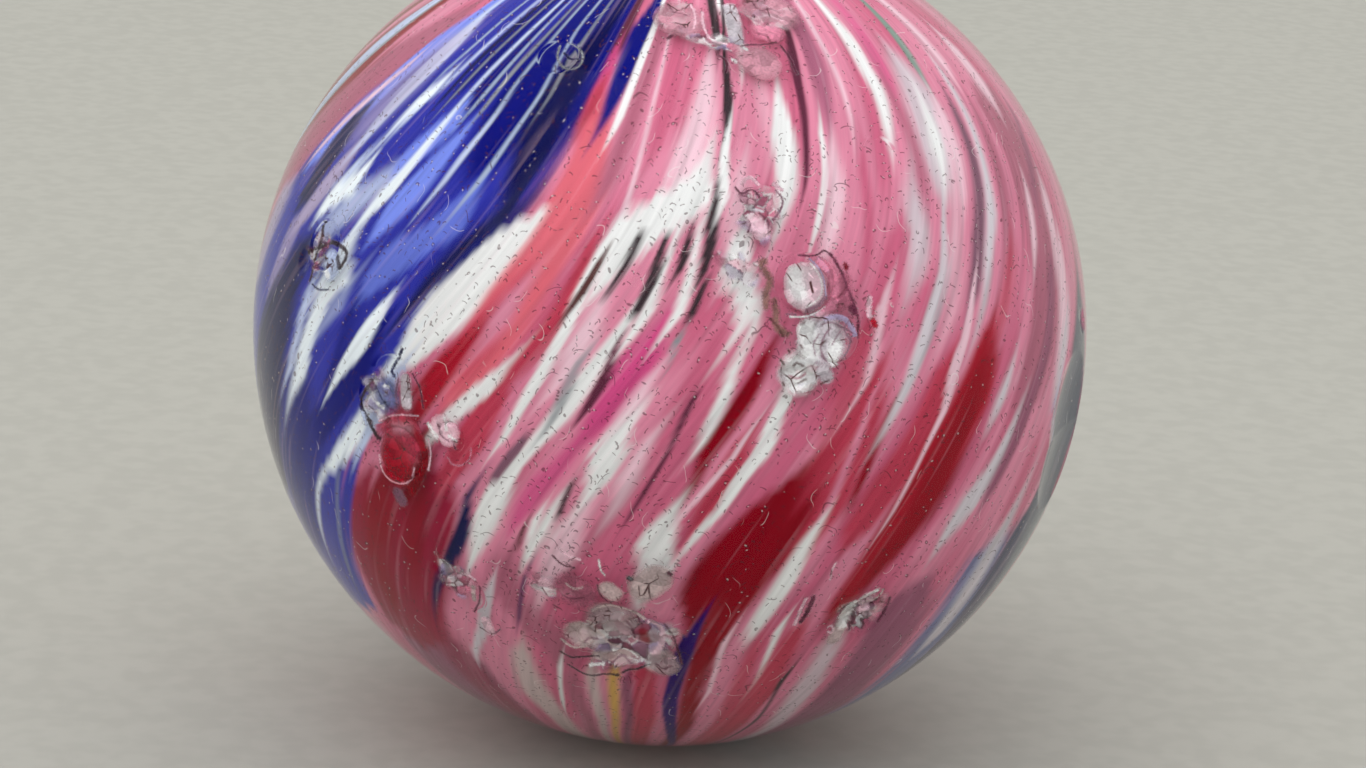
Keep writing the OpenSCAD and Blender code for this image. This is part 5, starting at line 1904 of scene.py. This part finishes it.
@dataclass
class Studio:
    """A pale floor, soft light and the camera at the viewer's place.

    Attributes:
        floor_r: Radius of the floor.
        camera_distance: From the ball's centre to the camera.
        elevation: Height of the view above level, in degrees.
        roll: Lean of the view, in degrees.
        picture: Width and height of the picture in pixels.
        ball_at: Pixel where the ball's centre shows.
        limb: The ball's radius in pixels.
        sensor: Width of the camera's sensor in millimetres.
    """

    floor_r: float = 3.0
    floor_colour: tuple[float, float, float] = linear(172, 171, 163)
    backdrop: tuple[float, float, float] = linear(186, 186, 178)
    light_low: float = 0.26
    light_high: float = 1.4
    camera_distance: float = 200.0 * MM
    elevation: float = 16.0
    roll: float = 3.0
    picture: tuple[int, int] = (1366, 768)
    ball_at: tuple[float, float] = (670.0, 330.0)
    limb: float = 417.0
    sensor: float = 36.0

    def build(self) -> None:
        """Builds the floor, the world, the lamps and the camera."""
        self.make_floor()
        self.make_world()
        self.make_lamp("key", Vector((-0.35, -0.55, 0.9)), 1.1, 3.2)
        self.make_camera()

    def make_floor(self) -> None:
        """Makes the floor that the ball touches."""
        made, graph, output = blank_material("floor_paper")
        object_at = graph.node("ShaderNodeTexCoord").outputs["Object"]
        grain = graph.band(graph.noise(object_at, 700.0, 1.0), 0.3, 0.7, 0.97, 1.03)
        scale = graph.node("ShaderNodeCombineColor", {0: grain, 1: grain, 2: grain}).outputs[0]
        colour = graph.mix(1.0, opaque(self.floor_colour), scale, "MULTIPLY")
        shader = graph.node("ShaderNodeBsdfPrincipled", {"Base Color": colour, "Roughness": 0.9})
        graph.put(shader.inputs["Specular IOR Level"], 0.1)
        graph.put(output.inputs["Surface"], shader.outputs[0])
        bm = bmesh.new()
        lift = Matrix.Translation((0.0, 0.0, CAD_BOX[0].z))
        bmesh.ops.create_circle(bm, cap_ends=True, segments=128, radius=self.floor_r, matrix=lift)
        finish_object("floor", bm, made)

    def make_world(self) -> None:
        """Lights the ball evenly, and shows the pale backdrop to the camera and in the glass."""
        world = bpy.data.worlds.new("soft_room")
        world.use_nodes = True
        world.node_tree.nodes.clear()
        graph = Graph(world.node_tree)
        path = graph.node("ShaderNodeLightPath").outputs
        shown = graph.math("MAXIMUM", path["Is Camera Ray"], path["Is Glossy Ray"])
        shown = graph.math("MAXIMUM", shown, path["Is Transmission Ray"])
        towards = graph.node("ShaderNodeTexCoord").outputs["Generated"]
        height = graph.node("ShaderNodeSeparateXYZ", {0: towards}).outputs["Z"]
        light = graph.band(height, -0.1, 1.0, self.light_low, self.light_high)
        room = graph.node("ShaderNodeBackground", {"Color": (1.0, 1.0, 1.0, 1.0),
                                                   "Strength": light})
        pale = graph.node("ShaderNodeBackground", {"Color": opaque(self.backdrop), "Strength": 1.0})
        both = graph.node("ShaderNodeMixShader", {0: shown, 1: room.outputs[0], 2: pale.outputs[0]})
        graph.node("ShaderNodeOutputWorld", {"Surface": both.outputs[0]})
        bpy.context.scene.world = world

    def make_lamp(self, name: str, place: Vector, size: float, power: float) -> None:
        """Hangs one square lamp that points at the ball.

        Args:
            name: The lamp's name.
            place: Its place.
            size: Its side.
            power: Its power in watts.
        """
        lamp = bpy.data.lights.new(name, "AREA")
        lamp.size = size
        lamp.energy = power
        made = bpy.data.objects.new(name, lamp)
        made.location = place
        made.rotation_mode = "QUATERNION"
        made.rotation_quaternion = (-place).to_track_quat("-Z", "Y")
        bpy.context.scene.collection.objects.link(made)

    def make_camera(self) -> None:
        """Puts the camera where the viewer stood, aimed a little off the ball's centre."""
        tilt, lean = math.radians(self.elevation), math.radians(self.roll)
        focal = self.limb * math.sqrt(self.camera_distance**2 - BALL_R**2) / BALL_R
        level = Vector((1.0, 0.0, 0.0))
        up = Vector((0.0, math.sin(tilt), math.cos(tilt)))
        back = Vector((0.0, -math.cos(tilt), math.sin(tilt)))
        right = level * math.cos(lean) + up * math.sin(lean)
        up = up * math.cos(lean) - level * math.sin(lean)
        axes = Matrix((right, up, back)).transposed()
        aside = math.atan((self.ball_at[0] - self.picture[0] / 2) / focal)
        above = math.atan((self.ball_at[1] - self.picture[1] / 2) / focal)
        aim = Matrix.Rotation(aside, 3, "Y") @ Matrix.Rotation(above, 3, "X")
        data = bpy.data.cameras.new("viewer")
        data.sensor_width = self.sensor
        data.lens = focal * self.sensor / self.picture[0]
        data.clip_start = 0.01
        camera = bpy.data.objects.new("viewer", data)
        camera.matrix_world = (axes @ aim).to_4x4()
        camera.location = back * self.camera_distance
        bpy.context.scene.collection.objects.link(camera)
        bpy.context.scene.camera = camera


@dataclass
class Marble:
    """The whole ball: its coloured core and its clear skin."""

    wear: Wear = field(default_factory=Wear)
    core: SwirlCore = field(default_factory=SwirlCore)

    def build(self) -> list[bpy.types.Object]:
        """Builds both pieces and ties them to the solid."""
        streaked = CoreFinish(peck_group()).material()
        core = self.core.build(streaked)
        bruises = BruisedGlass(self.wear).build(BruiseFinish().material())
        skin = ClearCasing(self.wear).build(CasingFinish().material())
        for piece in (core, bruises, skin):
            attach(piece, "root")
        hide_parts(NODE)
        return [core, bruises, skin]


def main() -> None:
    """Builds the marble and the studio."""
    logging.basicConfig(level=logging.INFO, format="%(message)s")
    scene = bpy.context.scene
    scene.view_settings.view_transform = "Standard"
    for piece in Marble().build():
        log.info("%s: %d faces", piece.name, len(piece.data.polygons))
    Studio().build()
    bpy.context.view_layer.update()


if __name__ == "__main__":
    main()
